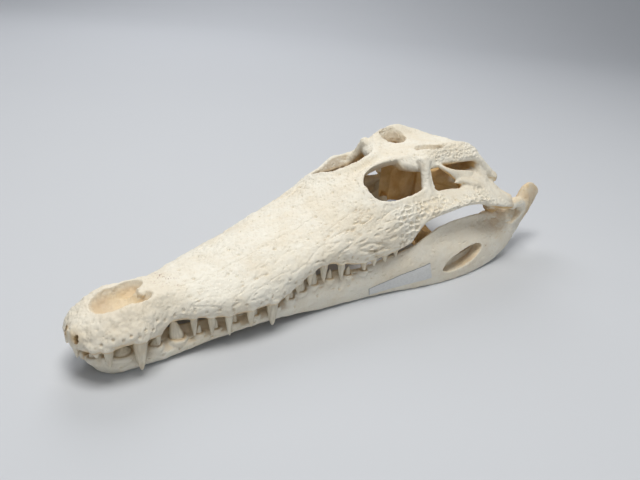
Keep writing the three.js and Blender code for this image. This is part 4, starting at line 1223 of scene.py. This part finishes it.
# The middle of each bone's box.
SKULL_BONES = {
    "premaxilla": (8, 0, 8), "nasals": (37, 0, 14), "maxilla_left": (44, -6, 11),
    "maxilla_right": (44, 6, 11), "forehead": (70, 0, 19), "cheek_left": (76, -15, 16),
    "cheek_right": (76, 15, 16), "skull_table": (90, 0, 25), "braincase": (93, 0, 16),
    "palate": (73, 0, 9), "quadrate_left": (96, -16, 18), "quadrate_right": (96, 16, 18),
}
JAW_BONES = {
    "dentary": (40, 10, 4), "surangular": (89, 20, 9), "angular": (91, 20, 2), "articular": (112, 20, 9)
}
SMALLEST_BONE = 400  # points: a cut leaves no bone with fewer
# The box that the skull keeps to, in percent: the relief moves no point past it.
REACH = [0.03, -22.07, 0.0], [122.98, 22.07, 28.28]


def slab(start, end, y0, y1):
    """A thin plate across the skull whose edge runs from (x, z) to (x, z)."""
    a, b = np.array(start, float), np.array(end, float)
    run = (b - a) / np.linalg.norm(b - a)
    off = np.array([-run[1], run[0]]) * SEAM / PC / 2
    ring = np.array([a - off, b - off, b + off, a + off])
    rows = np.stack([np.insert(ring, 1, y, axis=1) for y in (y0, y1)])
    return skin(rows)


def slabs(start, end, y0, y1):
    """The same on both sides, from y0 out to y1."""
    return [slab(start, end, y0, y1), slab(start, end, -y1, -y0)]


def curtain(line, z0, z1):
    """An upright thin sheet over a plan line of (x, y) points."""
    p = np.array(line, float)
    run = np.gradient(p, axis=0)
    run /= np.linalg.norm(run, axis=1, keepdims=True)
    off = np.stack([-run[:, 1], run[:, 0]], -1) * SEAM / PC / 2
    (ax, ay), (bx, by) = (p - off).T, (p + off).T
    return skin(grid((ax, ay, z0), (bx, by, z0), (bx, by, z1), (ax, ay, z1)))


def trough(grow, x0, x1):
    """The bed of the nasal bones: a shallow trough under the roof, `grow` wider and deeper."""
    x = np.linspace(x0, x1, 40)
    width = Rail((17, 1.2), (26, 2.4), (38, 3.1), (50, 3.2), (58, 2.2))(x) + grow
    top = roof_height(x) + 3
    low = roof_height(x) - 1.6 - grow
    rows = grid(
        (x, width, top), (x, width, low + 0.9), (x, 0.5 * width, low),
        (x, -0.5 * width, low), (x, -width, low + 0.9), (x, -width, top),
    )
    return skin(rows)


def skull_seams():
    """All the thin cuts that part the upper skull, as one tool."""
    arch = [(56, -7.2), (57.2, -4), (57.5, 0), (57.2, 4), (56, 7.2)]
    front = [(14, -12), (14.4, -6), (17.5, -2.6), (18, 0), (17.5, 2.6), (14.4, 6), (14, 12)]
    nasal = mesh_object("tool", trough(SEAM / PC, 17.4, 58))
    cut_with(nasal, mesh_object("cutter", curtain([(17.9, 0), (58, 0)], 0, 30)), "UNION")
    cut(nasal, trough(0.0, 17.3, 58.1))
    rest = united(
        [
            curtain(front, 0, 20),
            curtain(arch, 0, 30),
            curtain([(56, -7.1), (61, -15), (62.5, -22)], 11.2, 30),
            curtain([(56, 7.1), (61, 15), (62.5, 22)], 11.2, 30),
            *slabs((55.8, 11.25), (74, 11.25), 6.9, 22),
            *slabs((59, 11.2), (75, 25.4), 6.9, 22),
            slab((79.5, 16), (79.5, 30), -6.6, 6.6),
            *slabs((78, 21), (83.6, 21), 9, 16),
            curtain([(90.4, 12), (90.4, 24)], 10, 19.9),
            curtain([(90.4, -24), (90.4, -12)], 10, 19.9),
            *slabs((86, 19.8), (90.45, 19.8), 12, 16.5),
            slab((78.1, 20.9), (78.1, 26), 9, 16),
            slab((78, 22.2), (84.45, 22.2), -5, 5),
            slab((84.4, 22.15), (84.4, 23.95), -18, 18),
            slab((84.35, 23), (107, 23), -10.35, 10.35),
            *slabs((84.35, 23.9), (107, 23.9), 10.25, 18),
            curtain([(84, 10.3), (108, 10.3)], 10, 24),
            curtain([(84, -10.3), (108, -10.3)], 10, 24),
            *slabs((63.5, 16.5), (70, 16.5), 2, 7),
            slab((56, 11.9), (61, 12.7), -7.3, 7.3),
            *slabs((73, 10.6), (82, 10.6), 10, 16),
        ]
    )
    return cut_with(rest, nasal, "UNION")


def jaw_seams():
    """The thin cuts that part one half of the jaw, as one tool."""
    return united(
        [
            slab((76, 13.4), (82, -1), -26, 26),
            slab((92, 6.3), (101.1, 6.3), -26, 26),
            slab((101, -1), (101, 20), -26, 26),
        ]
    )


def loose_parts(piece):
    """Labels each point of a piece with the number of the connected part that it belongs to: every point
    takes the lowest number among its neighbours until nothing changes, with pointers shortened in each
    round."""
    a, b = read(piece.data.edges, "vertices", 2, np.int32).T
    label = np.arange(len(piece.data.vertices))
    while True:
        low = np.minimum(label[a], label[b])
        new = label.copy()
        np.minimum.at(new, a, low)
        np.minimum.at(new, b, low)
        new = new[new]
        if (new == label).all():
            return label
        label = new


def part_out(piece, places, suffix=""):
    """Parts a cut mesh into bones, each the connected part whose box has its middle nearest to the named
    place. It stops if the parts and the places don't pair off."""
    co, tris = solid_of(piece)
    label = loose_parts(piece)
    parts, counts = np.unique(label, return_counts=True)
    big = parts[counts > SMALLEST_BONE]
    boxes = [(co[label == k].min(0), co[label == k].max(0)) for k in big]
    middle = np.array([(low + high) / 2 for low, high in boxes])
    nearest = {
        name: int(np.argmin(np.linalg.norm(middle - spot, axis=1))) for name, spot in places.items()
    }
    if len(big) != len(places) or len(set(nearest.values())) != len(places):
        found = [[np.round(low, 1).tolist(), np.round(high, 1).tolist()] for low, high in boxes]
        raise RuntimeError(f"the cuts left {len(big)} parts for {len(places)} bones: {found}, {nearest}")
    bones = {}
    for name, k in nearest.items():
        keep = label == big[k]
        index = np.cumsum(keep) - 1
        solid = co[keep], index[tris[keep[tris[:, 0]]]]
        bones[name + suffix] = mesh_object(name + suffix + "_bone", solid)
    remove(piece)
    return bones


def displaced(piece, relief):
    """Moves every point along its normal by the relief, but not past the skull's box."""
    p, normal = points_of(piece), normals_of(piece)
    height, _ = relief(p, normal)
    p = np.clip(p + normal * height[:, None], *REACH)
    piece.data.vertices.foreach_set("co", place(p).astype(np.float32).ravel())
    piece.data.update()
    return piece


def stains(piece, relief, shade_and_tan):
    """Stores on the points the painted shade of their dents and holes, the painted ochre shade of recesses
    together with the spur's own tan, and where red specks lie.
    """
    p, normal = points_of(piece), normals_of(piece)
    x, y, z = p.T
    red = np.exp(-(((x - 18.9) / 1.9) ** 2) - ((y - 0.9) / 3.0) ** 2) * smoothstep(10.5, 11.3, z)
    store(piece, "dent", relief(p, normal)[1])
    store(piece, "shade_and_tan", shade_and_tan(p, normal))
    store(piece, "red", red)


def skull_ochre_shade(p, n):
    """Ochre painted as shade inside the head, in the nostril, round the slits at the tip, in the ear, the
    table's windows and the eye sockets, on the inner walls of the cheeks, under the joints and under the
    snout, and ochre on the rear end.
    """
    x, y, z = p.T
    ay = np.abs(y)
    facing = 0.8 * n[:, 1] * np.sign(y) + 0.6 * n[:, 2]
    shell = smoothstep(0.1, 0.45, facing) * smoothstep(10.2, 11.2, ay) * smoothstep(13, 15, z)
    # painted ochre shade on the surfaces inside the head, but not on the outward faces of the cheeks
    inner = inside_skull(p) * (1 - shell)
    # painted shade in the nostril's basin and round the slits at the tip
    nose = band(x, 4.5, 15, 1.2) * (1 - smoothstep(3.2, 4.2, ay)) * (1 - smoothstep(10.4, 11.8, z)) * 0.55
    tip = np.exp(-((x - 0.2) ** 2 + (ay - 1.2) ** 2 + (z - 8.2) ** 2) / 1.1) * 0.85
    # painted shade in the ear's recess and down the table's window
    ear = band(x, 86.5, 98.5, 1) * band(z, 20.8, 24.6, 0.6) * (1 - smoothstep(11.4, 12.5, ay))
    oval = ((x - 88.8) / 3.9) ** 2 + ((ay - 5.5) / 3.2) ** 2
    funnel = (1 - smoothstep(0.8, 1.1, oval)) * smoothstep(0.5, 1.6, ridge_height(x) - z) * (z > 20) * 0.15
    # painted shade under the joints and under the snout between the teeth
    joint = smoothstep(93, 97, x) * smoothstep(0.0, 0.5, -n[:, 2]) * smoothstep(13, 15, ay) * (z < 20)
    gums = smoothstep(0.2, 0.6, -n[:, 2]) * (x < 70) * 0.55
    # plain ochre on the rear end past station 101
    end = smoothstep(101, 104, x) * 0.4
    # painted shade on the walls of the eye sockets and on the inner walls of the cheeks
    turn = math.radians(EYE["tilt"])
    dx, dy, dz = x - EYE["x"], ay - EYE["y"], z - EYE["z"]
    across = dz * math.sin(turn) - dy * math.cos(turn)
    oval = (dx / np.where(dx < 0, EYE["front"], EYE["rear"])) ** 2 + (across / (1.12 * EYE["half"])) ** 2
    depth = roof_over(np.minimum(x, FACE_REAR), y) - z
    eye = (1 - smoothstep(1.0, 1.2, oval)) * smoothstep(0.3, 1.3, depth) * (z > 12) * 0.6
    wall = smoothstep(0.1, 0.5, -facing) * band(x, 61, 98, 2) * smoothstep(8, 10, ay) * (z > 11) * 0.3
    return np.maximum.reduce([inner, nose, tip, ear, funnel, joint, gums, end, eye, wall])


def jaw_shade_and_tan(p, n):
    """The spur's own tan on the rear spur, and ochre painted as shade in the joint's cup, on the inner side
    of the jaw, on its top under the upper jaw and on the walls of its window.
    """
    x, y, z = p.T
    facing = n[:, 1] * np.sign(y)
    # the rear spur's own tan
    spur = smoothstep(112.5, 117, x) * (0.5 + 0.3 * value_noise(p * 0.7, 93))
    # painted shade in the joint's cup under the skull's condyle
    joint = band(x, 99, 113, 2) * smoothstep(0.3, 0.8, n[:, 2]) * 0.45
    # painted shade on the inner side of the jaw, and on its top where the upper jaw covers it
    inner = smoothstep(0.1, 0.5, -facing) * 0.6 + band(x, 14, 60, 2) * smoothstep(0.4, 0.8, n[:, 2]) * 0.4
    # painted shade on the walls of the jaw's window
    window = band(x, 78.5, 93.5, 0.8) * band(z, 2.6, 7.4, 0.4)
    window = window * smoothstep(0.5, 0.9, 1 - np.abs(facing)) * 0.5
    return np.maximum.reduce([spur, joint, inner, window])


# ---------- materials ----------


class Wire:
    """A shader socket on which Python's own signs add Math nodes."""

    def __init__(self, tree, socket):
        self.tree, self.socket = tree, socket

    def _math(self, operation, *values, clamp=False):
        """A Math node fed with wires and numbers."""
        node = self.tree.nodes.new("ShaderNodeMath")
        node.operation, node.use_clamp = operation, clamp
        for slot, value in zip(node.inputs, values):
            if isinstance(value, Wire):
                self.tree.links.new(value.socket, slot)
            else:
                slot.default_value = value
        return Wire(self.tree, node.outputs[0])

    def __add__(self, other):
        return self._math("ADD", self, other)

    def __sub__(self, other):
        return self._math("SUBTRACT", self, other)

    def __rsub__(self, other):
        return self._math("SUBTRACT", other, self)

    def __mul__(self, other):
        return self._math("MULTIPLY", self, other)

    __radd__, __rmul__ = __add__, __mul__

    def clamp(self):
        """The same value, held between 0 and 1."""
        return self._math("ADD", self, 0.0, clamp=True)


class Shader:
    """A new material with one Principled shader."""

    def __init__(self, name, **constants):
        self.material = bpy.data.materials.new(name)
        self.material.use_nodes = True
        self.tree = self.material.node_tree
        self.tree.nodes.clear()
        self.out = self.tree.nodes.new("ShaderNodeOutputMaterial")
        self.main = self.tree.nodes.new("ShaderNodeBsdfPrincipled")
        self.tree.links.new(self.main.outputs[0], self.out.inputs[0])
        for key, value in constants.items():
            self.main.inputs[key.replace("_", " ")].default_value = value
        self.place = self.node("ShaderNodeTexCoord", output="Object")

    def node(self, kind, settings=None, output=0, **sockets):
        """Adds any node: its settings first, then its sockets' values or links. A socket is named, or
        numbered as i0, i1 and so on."""
        made = self.tree.nodes.new(kind)
        for key, value in (settings or {}).items():
            setattr(made, key, value)
        for key, value in sockets.items():
            numbered = key[0] == "i" and key[1:].isdigit()
            slot = made.inputs[int(key[1:]) if numbered else key.replace("_", " ")]
            if isinstance(value, Wire):
                self.tree.links.new(value.socket, slot)
            else:
                slot.default_value = value
        return Wire(self.tree, made.outputs[output])

    def noise(self, scale, detail=3.0, roughness=0.55, vector=None):
        """Smooth noise of the given scale, on the piece's own coordinates or on others."""
        return self.node(
            "ShaderNodeTexNoise", Vector=vector or self.place, Scale=scale, Detail=detail,
            Roughness=roughness,
        )

    def cells(self, scale):
        """The distance to the middle of the nearest random cell."""
        return self.node("ShaderNodeTexVoronoi", output="Distance", Vector=self.place, Scale=scale)

    def stretch(self, x, y, z):
        """The piece's own coordinates, scaled along each axis."""
        return self.node("ShaderNodeMapping", Vector=self.place, Scale=(x, y, z))

    def range(self, value, low, high, out_low=0.0, out_high=1.0):
        """A smooth step from out_low to out_high as the value goes from low to high."""
        return self.node(
            "ShaderNodeMapRange", {"interpolation_type": "SMOOTHSTEP"}, Value=value,
            From_Min=low, From_Max=high, To_Min=out_low, To_Max=out_high,
        )

    def mix(self, factor, a, b):
        """A blend of two colours."""
        return self.node("ShaderNodeMix", {"data_type": "RGBA"}, output=2, i0=factor, i6=a, i7=b)

    def attribute(self, name):
        """A number stored on the points."""
        return self.node("ShaderNodeAttribute", {"attribute_name": name}, output="Fac")

    def feed(self, **sockets):
        """Links wires to the shader's sockets."""
        for key, value in sockets.items():
            self.tree.links.new(value.socket, self.main.inputs[key.replace("_", " ")])

    def bump(self, height, strength, distance):
        """Bends the shader's normals by a height."""
        self.feed(Normal=self.node("ShaderNodeBump", Height=height, Strength=strength, Distance=distance))


def rgb(color):
    """A colour with full cover."""
    return (*color, 1.0)


def bone_material(settings):
    """Bleached bone: pale cream in slow patches and random tan specks, with fine pores; shade is painted
    into the dents, holes and pores, and ochre shade into the openings and under the bones, with the tan
    of the jaw's spur.
    """
    s = Shader("bleached_bone", Specular_IOR_Level=0.3)
    pale, cream = rgb(settings.bone_pale), rgb(settings.bone_cream)
    tone = s.mix(s.range(s.noise(38.0, 4.0, 0.6), 0.36, 0.66), pale, cream)
    speck = s.noise(420.0, 3.0, 0.6)
    tone = s.mix(s.range(speck, 0.52, 0.78) * 0.25, tone, rgb(settings.bone_tan))
    tone = s.mix(s.range(s.noise(16.0, 2.0, 0.5), 0.54, 0.74) * 0.2, tone, rgb(settings.bone_tan))
    # painted shade: the dents are painted tan and the holes and slits dark brown, as shade
    dent = s.attribute("dent")
    tone = s.mix(s.range(dent, 0.05, 0.7) * 0.5, tone, rgb(settings.pit_shade_tan))
    tone = s.mix(s.range(dent, 0.72, 0.95) * 0.9, tone, rgb(settings.hole_shade_brown))
    # ochre painted as shade in the openings and under the bones, and the spur's own tan
    depth = s.range(s.noise(90.0, 4.0, 0.6), 0.35, 0.7)
    ochre = s.mix(depth, rgb(settings.ochre), rgb(settings.ochre_deep))
    shade_and_tan = s.attribute("shade_and_tan")
    tone = s.mix((shade_and_tan * s.range(s.noise(60.0, 3.0), 0.2, 0.6, 0.7, 1.0)).clamp(), tone, ochre)
    pores = s.cells(1300.0)
    hole = 1 - s.range(pores, 0.12, 0.34)
    sparse = s.range(s.noise(260.0, 2.0), 0.5, 0.62)
    # the pores are darkened as painted shade
    tone = s.mix(hole * sparse * 0.4, tone, rgb(settings.pit_shade_tan))
    spots = s.range(s.noise(620.0, 2.0, 0.5), 0.6, 0.66) * s.attribute("red")
    tone = s.mix(spots.clamp(), tone, rgb(settings.speck_red))
    s.feed(Base_Color=tone, Roughness=s.range(speck, 0.3, 0.75, 0.5, 0.68))
    grain = s.noise(900.0, 4.0, 0.65, vector=s.stretch(0.45, 1.0, 1.0))
    height = grain * 0.5 + s.noise(260.0, 3.0, 0.6) * 0.9 - hole * sparse * 0.8
    s.bump(height, 0.5, 0.0006)
    return s.material


def enamel_material(settings):
    """Tooth: greyish ivory with fine lines along it, and tan in slow random patches."""
    s = Shader("tooth_enamel", Specular_IOR_Level=0.5)
    lines = s.noise(700.0, 3.0, 0.6, vector=s.stretch(1.0, 1.0, 0.12))
    tone = s.mix(s.range(lines, 0.35, 0.7), rgb(settings.tooth_pale), rgb(settings.tooth_grey))
    tone = s.mix(s.range(s.noise(120.0, 2.0), 0.45, 0.75) * 0.5, tone, rgb(settings.bone_tan))
    s.feed(Base_Color=tone, Roughness=s.range(lines, 0.3, 0.7, 0.28, 0.45))
    s.bump(lines, 0.2, 0.0003)
    return s.material


def label_material(settings):
    """Plain paper: off-white with a faint fibre, and a thin dark line along two of its edges."""
    s = Shader("label_paper", Specular_IOR_Level=0.3)
    fibre = s.noise(1400.0, 4.0, 0.7, vector=s.stretch(0.4, 1.0, 1.0))
    paper = s.mix(s.range(fibre, 0.3, 0.75), rgb(settings.paper), rgb(settings.paper_shade))
    tone = s.mix(s.attribute("line"), paper, rgb(settings.paper_line))
    s.feed(Base_Color=tone, Roughness=s.range(fibre, 0.3, 0.7, 0.6, 0.75))
    s.bump(fibre, 0.15, 0.0002)
    return s.material


# ---------- the add-on ----------


def colour(name, description, default):
    """A colour setting."""
    return bpy.props.FloatVectorProperty(
        name=name, description=description, default=default, subtype="COLOR", size=3, min=0.0, max=1.0
    )


class SkullSettings(bpy.types.PropertyGroup):
    """The size of the skin's cells and the colours"""

    cell: bpy.props.FloatProperty(
        name="Cell", description="Size of the skin's cells", default=0.0005, unit="LENGTH",
        min=0.0003, max=0.003,
    )
    bone_pale: colour("Pale bone", "Lightest tone of the bone", (0.87, 0.83, 0.72))
    bone_cream: colour("Cream bone", "Main tone of the bone", (0.82, 0.75, 0.61))
    bone_tan: colour("Tan bone", "Warm patches of the bone", (0.70, 0.56, 0.37))
    # painted shade: tan for the shade in the dents and pores, dark brown for the shade in the holes and
    # slits
    pit_shade_tan: colour("Dents", "Painted shade in the dents and pores", (0.50, 0.36, 0.20))
    hole_shade_brown: colour("Holes", "Painted shade in the holes and slits", (0.09, 0.05, 0.025))
    speck_red: colour("Specks", "The specks behind the nostril", (0.20, 0.05, 0.03))
    # ochre painted as shade inside the openings and under the bones, and the tan of the jaw's rear spur
    ochre: colour("Ochre", "Tone inside the openings", (0.74, 0.53, 0.25))
    ochre_deep: colour("Deep ochre", "Darkest tone inside the openings", (0.55, 0.33, 0.12))
    tooth_pale: colour("Pale tooth", "Lightest tone of the teeth", (0.80, 0.74, 0.60))
    tooth_grey: colour("Grey tooth", "Greyest tone of the teeth", (0.60, 0.54, 0.42))
    paper: colour("Paper", "Tone of the label", (0.80, 0.80, 0.78))
    paper_shade: colour("Paper shade", "Darker fibres of the label", (0.70, 0.70, 0.68))
    paper_line: colour("Paper line", "The line along the label's edge", (0.05, 0.05, 0.07))
    floor: colour("Floor", "Tone of the floor", (0.62, 0.64, 0.67))


FIRST_CELLS = 1.25  # how much larger the cells of the upper skull's first skin are
FIRST_RELAX, RELAX = 3, 5  # rounds that smooth the first and the last skin
SHARP = math.radians(62)  # edges above this angle stay sharp


def cell_size(settings):
    """The size of the skin's cells in metres."""
    return settings.cell * 1.0


def finish_piece(piece, material, replaced=()):
    """Gives a piece its material, smooth faces with sharp cut edges and a body, and hides the nodes that
    it replaces."""
    piece.data.materials.clear()
    piece.data.materials.append(material)
    smooth(piece)
    piece.data.set_sharp_from_angle(angle=SHARP)
    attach(piece, "root")
    if replaced:
        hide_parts(*replaced)


class SKULL_OT_upper(bpy.types.Operator):
    """Builds the bones of the upper skull"""

    bl_idname = "skull.upper"
    bl_label = "Upper skull"

    def execute(self, context):
        settings = context.scene.skull_settings
        size = cell_size(settings)
        face = mesh_object("face", face_solid())
        cut(face, hollow_solid())
        cut(face, join(both(palate_window)))
        cut(face, join(both(eye_socket)))
        rest = [table_solid(), *rear_bones(), *both(eye_rim)]
        for side in SIDES:
            rest += upper_sockets(side)
        whole = merge(mesh_object("skull", join(rest)), face)
        fuse(whole, size * FIRST_CELLS)
        relax(whole, FIRST_RELAX)
        cut(whole, join(both(table_window)))
        for solid in nostril_solids():
            cut(whole, solid)
        whole = merge(whole, mesh_object("knob", nasal_knob()))
        fuse(whole, size)
        relax(whole, RELAX)
        displaced(whole, skull_relief)
        cut_with(whole, skull_seams())
        material = bone_material(settings)
        for name, bone in part_out(whole, SKULL_BONES).items():
            stains(bone, skull_relief, skull_ochre_shade)
            finish_piece(bone, material, (name,))
        return {"FINISHED"}


class SKULL_OT_jaw(bpy.types.Operator):
    """Builds the bones of the lower jaw"""

    bl_idname = "skull.jaw"
    bl_label = "Lower jaw"

    def execute(self, context):
        settings = context.scene.skull_settings
        size = cell_size(settings)
        material = bpy.data.materials.get("bleached_bone") or bone_material(settings)
        for side, word in zip(SIDES, ("_left", "_right")):
            jaw = mesh_object("jaw", jaw_solid(side))
            cut(jaw, jaw_channel(side))
            cut(jaw, jaw_window(side))
            cut(jaw, egg(104.4, 19.6 * side, 14, 4, 4.6, 2.9))
            extras = join(lower_sockets(side), inner_wall(side), joint_lip(side))
            jaw = merge(jaw, mesh_object("sockets", extras))
            fuse(jaw, size)
            relax(jaw, RELAX)
            displaced(jaw, jaw_relief)
            cut_with(jaw, jaw_seams())
            places = {name: (x, side * y, z) for name, (x, y, z) in JAW_BONES.items()}
            for name, bone in part_out(jaw, places, word).items():
                stains(bone, jaw_relief, jaw_shade_and_tan)
                finish_piece(bone, material, (name,))
        return {"FINISHED"}


class SKULL_OT_teeth(bpy.types.Operator):
    """Builds the teeth of both jaws"""

    bl_idname = "skull.teeth"
    bl_label = "Teeth"

    def execute(self, context):
        material = enamel_material(context.scene.skull_settings)
        for side, word in zip(SIDES, ("left", "right")):
            rows = (("upper", upper_teeth, "maxilla"), ("lower", lower_teeth, "dentary"))
            for row, make, slot in rows:
                piece = mesh_object(f"{row}_teeth_{word}", join(make(side)))
                finish_piece(piece, material)
        return {"FINISHED"}


# The label's corners as station and height: top front, low front, low rear, top rear.
LABEL_CORNERS = [(59.5, 2.7), (60.0, 0.9), (75.9, 2.1), (74.9, 6.1)]
LABEL_START = -26.0  # the side from which it is laid on the jaw
LABEL_GAP, LABEL_THICK = 0.00008, 0.00012  # metres


class SKULL_OT_label(bpy.types.Operator):
    """Lays a blank paper label on the left side of the jaw"""

    bl_idname = "skull.label"
    bl_label = "Label"

    def execute(self, context):
        settings = context.scene.skull_settings
        u, v = np.meshgrid(np.linspace(0, 1, 81), np.linspace(0, 1, 17), indexing="ij")
        (x0, z0), (x1, z1), (x2, z2), (x3, z3) = LABEL_CORNERS
        x = (1 - u) * ((1 - v) * x1 + v * x0) + u * ((1 - v) * x2 + v * x3)
        z = (1 - u) * ((1 - v) * z1 + v * z0) + u * ((1 - v) * z2 + v * z3)
        z = np.maximum(z, jaw_low(x) + 0.42 + 1.2 * v)
        verts = np.stack([x, np.full_like(x, LABEL_START), z], -1).reshape(-1, 3)
        label = mesh_object("label", (verts, open_cells(*x.shape)))
        store(label, "line", np.maximum(1 - smoothstep(0.006, 0.012, u), 1 - smoothstep(0.03, 0.06, 1 - v)))
        target = bpy.data.objects["dentary_left_bone"]
        apply(
            label, "SHRINKWRAP", target=target, wrap_method="PROJECT", use_project_y=True,
            use_positive_direction=True, use_negative_direction=False, offset=LABEL_GAP,
        )
        relax(label, 4, 0.4)
        apply(label, "SOLIDIFY", thickness=LABEL_THICK, offset=1.0, use_even_offset=False)
        finish_piece(label, label_material(settings))
        return {"FINISHED"}


CAMERA_PLACE = (-43.40780827, -89.07149484, 68.76292105)  # percent
CAMERA_TURNS = (48.94127291, 23.76353252, 5.02276701)  # yaw, pitch down and roll, in degrees
SENSOR = 36.0  # millimetres
CAMERA_LENS = 676.2310744500294 / 640 * SENSOR
FLOOR_START, FLOOR_END, FLOOR_BEND, FLOOR_TOP = -3, 1.2, 0.9, 3.5  # metres: flat part, bend, upright part
FLOOR_REACH = 4  # metres to each side
LAMPS = (  # name, place, size, power and tint
    ("key_light", (-0.16, -0.1, 1.3), 0.6, 12.2, (1.0, 0.98, 0.94)),
    ("fill_light", (-0.9, -1.3, 0.8), 1.2, 2.6, (0.95, 0.97, 1.0)),
    ("back_light", (0.7, 1.1, 1.0), 0.8, 8.0, (0.98, 0.98, 1.0)),
)
LAMP_AIM = Vector((0.02, 0.0, 0.03))
WORLD_TONE, WORLD_STRENGTH = (0.80, 0.84, 0.90, 1), 0.23


def floor_object(yaw):
    """A floor that bends up on a quarter circle, (sin t, 1 - cos t), behind the skull and ends upright;
    it runs away from the camera."""
    turn = np.linspace(0, math.pi / 2, 16)[1:]
    run = np.concatenate([np.linspace(FLOOR_START, FLOOR_END, 12), FLOOR_END + FLOOR_BEND * np.sin(turn)])
    rise = np.concatenate([np.zeros(12), FLOOR_BEND * (1 - np.cos(turn))])
    run, rise = np.append(run, run[-1]), np.append(rise, FLOOR_TOP)
    along = np.array([math.sin(yaw), math.cos(yaw)])
    across = np.array([along[1], -along[0]])
    s = np.linspace(-FLOOR_REACH, FLOOR_REACH, 9)
    xy = run[:, None, None] * along + s[None, :, None] * across
    z = np.broadcast_to(rise[:, None, None], xy.shape[:2] + (1,))
    verts = np.concatenate([xy, z], -1).reshape(-1, 3)
    return mesh_object("floor", (unplace(verts), open_cells(len(run), len(s))[:, ::-1]))


def camera_matrix(yaw, pitch, roll):
    """The camera's place, and its axes from the direction of sight f and two axes square to it."""
    f = np.array([math.sin(yaw) * math.cos(pitch), math.cos(yaw) * math.cos(pitch), -math.sin(pitch)])
    r = np.array([math.cos(yaw), -math.sin(yaw), 0.0])
    u = np.cross(r, f)
    right = math.cos(roll) * r + math.sin(roll) * u
    up = -math.sin(roll) * r + math.cos(roll) * u
    where = place(np.array(CAMERA_PLACE))
    return Matrix([[right[i], up[i], -f[i], where[i]] for i in range(3)] + [[0, 0, 0, 1]])


class SKULL_OT_stage(bpy.types.Operator):
    """Lays the pale floor and sets the lights and the camera"""

    bl_idname = "skull.stage"
    bl_label = "Stage"

    def execute(self, context):
        settings = context.scene.skull_settings
        turns = [math.radians(angle) for angle in CAMERA_TURNS]
        floor = floor_object(turns[0])
        smooth(floor)
        s = Shader("floor_paint", Roughness=0.75, Specular_IOR_Level=0.2)
        tone = s.mix(s.noise(3.0, 2.0), rgb([c * 0.97 for c in settings.floor]), rgb(settings.floor))
        s.feed(Base_Color=tone)
        floor.data.materials.append(s.material)
        for name, spot, size, power, tint in LAMPS:
            lamp = bpy.data.lights.new(name, "AREA")
            lamp.shape, lamp.size, lamp.energy, lamp.color = "SQUARE", size, power, tint
            light = bpy.data.objects.new(name, lamp)
            context.scene.collection.objects.link(light)
            light.location = spot
            light.rotation_euler = (LAMP_AIM - Vector(spot)).to_track_quat("-Z", "Y").to_euler()
        world = context.scene.world or bpy.data.worlds.new("studio")
        context.scene.world = world
        world.use_nodes = True
        background = world.node_tree.nodes["Background"].inputs
        background[0].default_value, background[1].default_value = WORLD_TONE, WORLD_STRENGTH
        eye = bpy.data.cameras.new("camera")
        eye.sensor_width, eye.lens, eye.sensor_fit = SENSOR, CAMERA_LENS, "HORIZONTAL"
        eye.clip_start, eye.clip_end = 0.01, 20.0
        camera = bpy.data.objects.new("camera", eye)
        context.scene.collection.objects.link(camera)
        camera.matrix_world = camera_matrix(*turns)
        context.scene.camera = camera
        context.scene.view_settings.view_transform = "Standard"
        return {"FINISHED"}


STEPS = (SKULL_OT_stage, SKULL_OT_upper, SKULL_OT_jaw, SKULL_OT_teeth, SKULL_OT_label)


class SKULL_PT_panel(bpy.types.Panel):
    """Lists the steps that build the skull"""

    bl_idname = "SKULL_PT_panel"
    bl_label = "Crocodile skull"
    bl_space_type = "VIEW_3D"
    bl_region_type = "UI"
    bl_category = "Skull"

    def draw(self, context):
        for step in STEPS:
            self.layout.operator(step.bl_idname)
        for key in SkullSettings.__annotations__:
            self.layout.prop(context.scene.skull_settings, key)


CLASSES = (SkullSettings, *STEPS, SKULL_PT_panel)


def register():
    """Registers the classes and the scene's settings."""
    for item in CLASSES:
        bpy.utils.register_class(item)
    bpy.types.Scene.skull_settings = bpy.props.PointerProperty(type=SkullSettings)


def unregister():
    """Takes them out again."""
    del bpy.types.Scene.skull_settings
    for item in reversed(CLASSES):
        bpy.utils.unregister_class(item)


def main():
    """Builds everything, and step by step."""
    register()
    for step in STEPS:
        group, name = step.bl_idname.split(".")
        getattr(getattr(bpy.ops, group), name)()


if __name__ == "__main__":
    main()
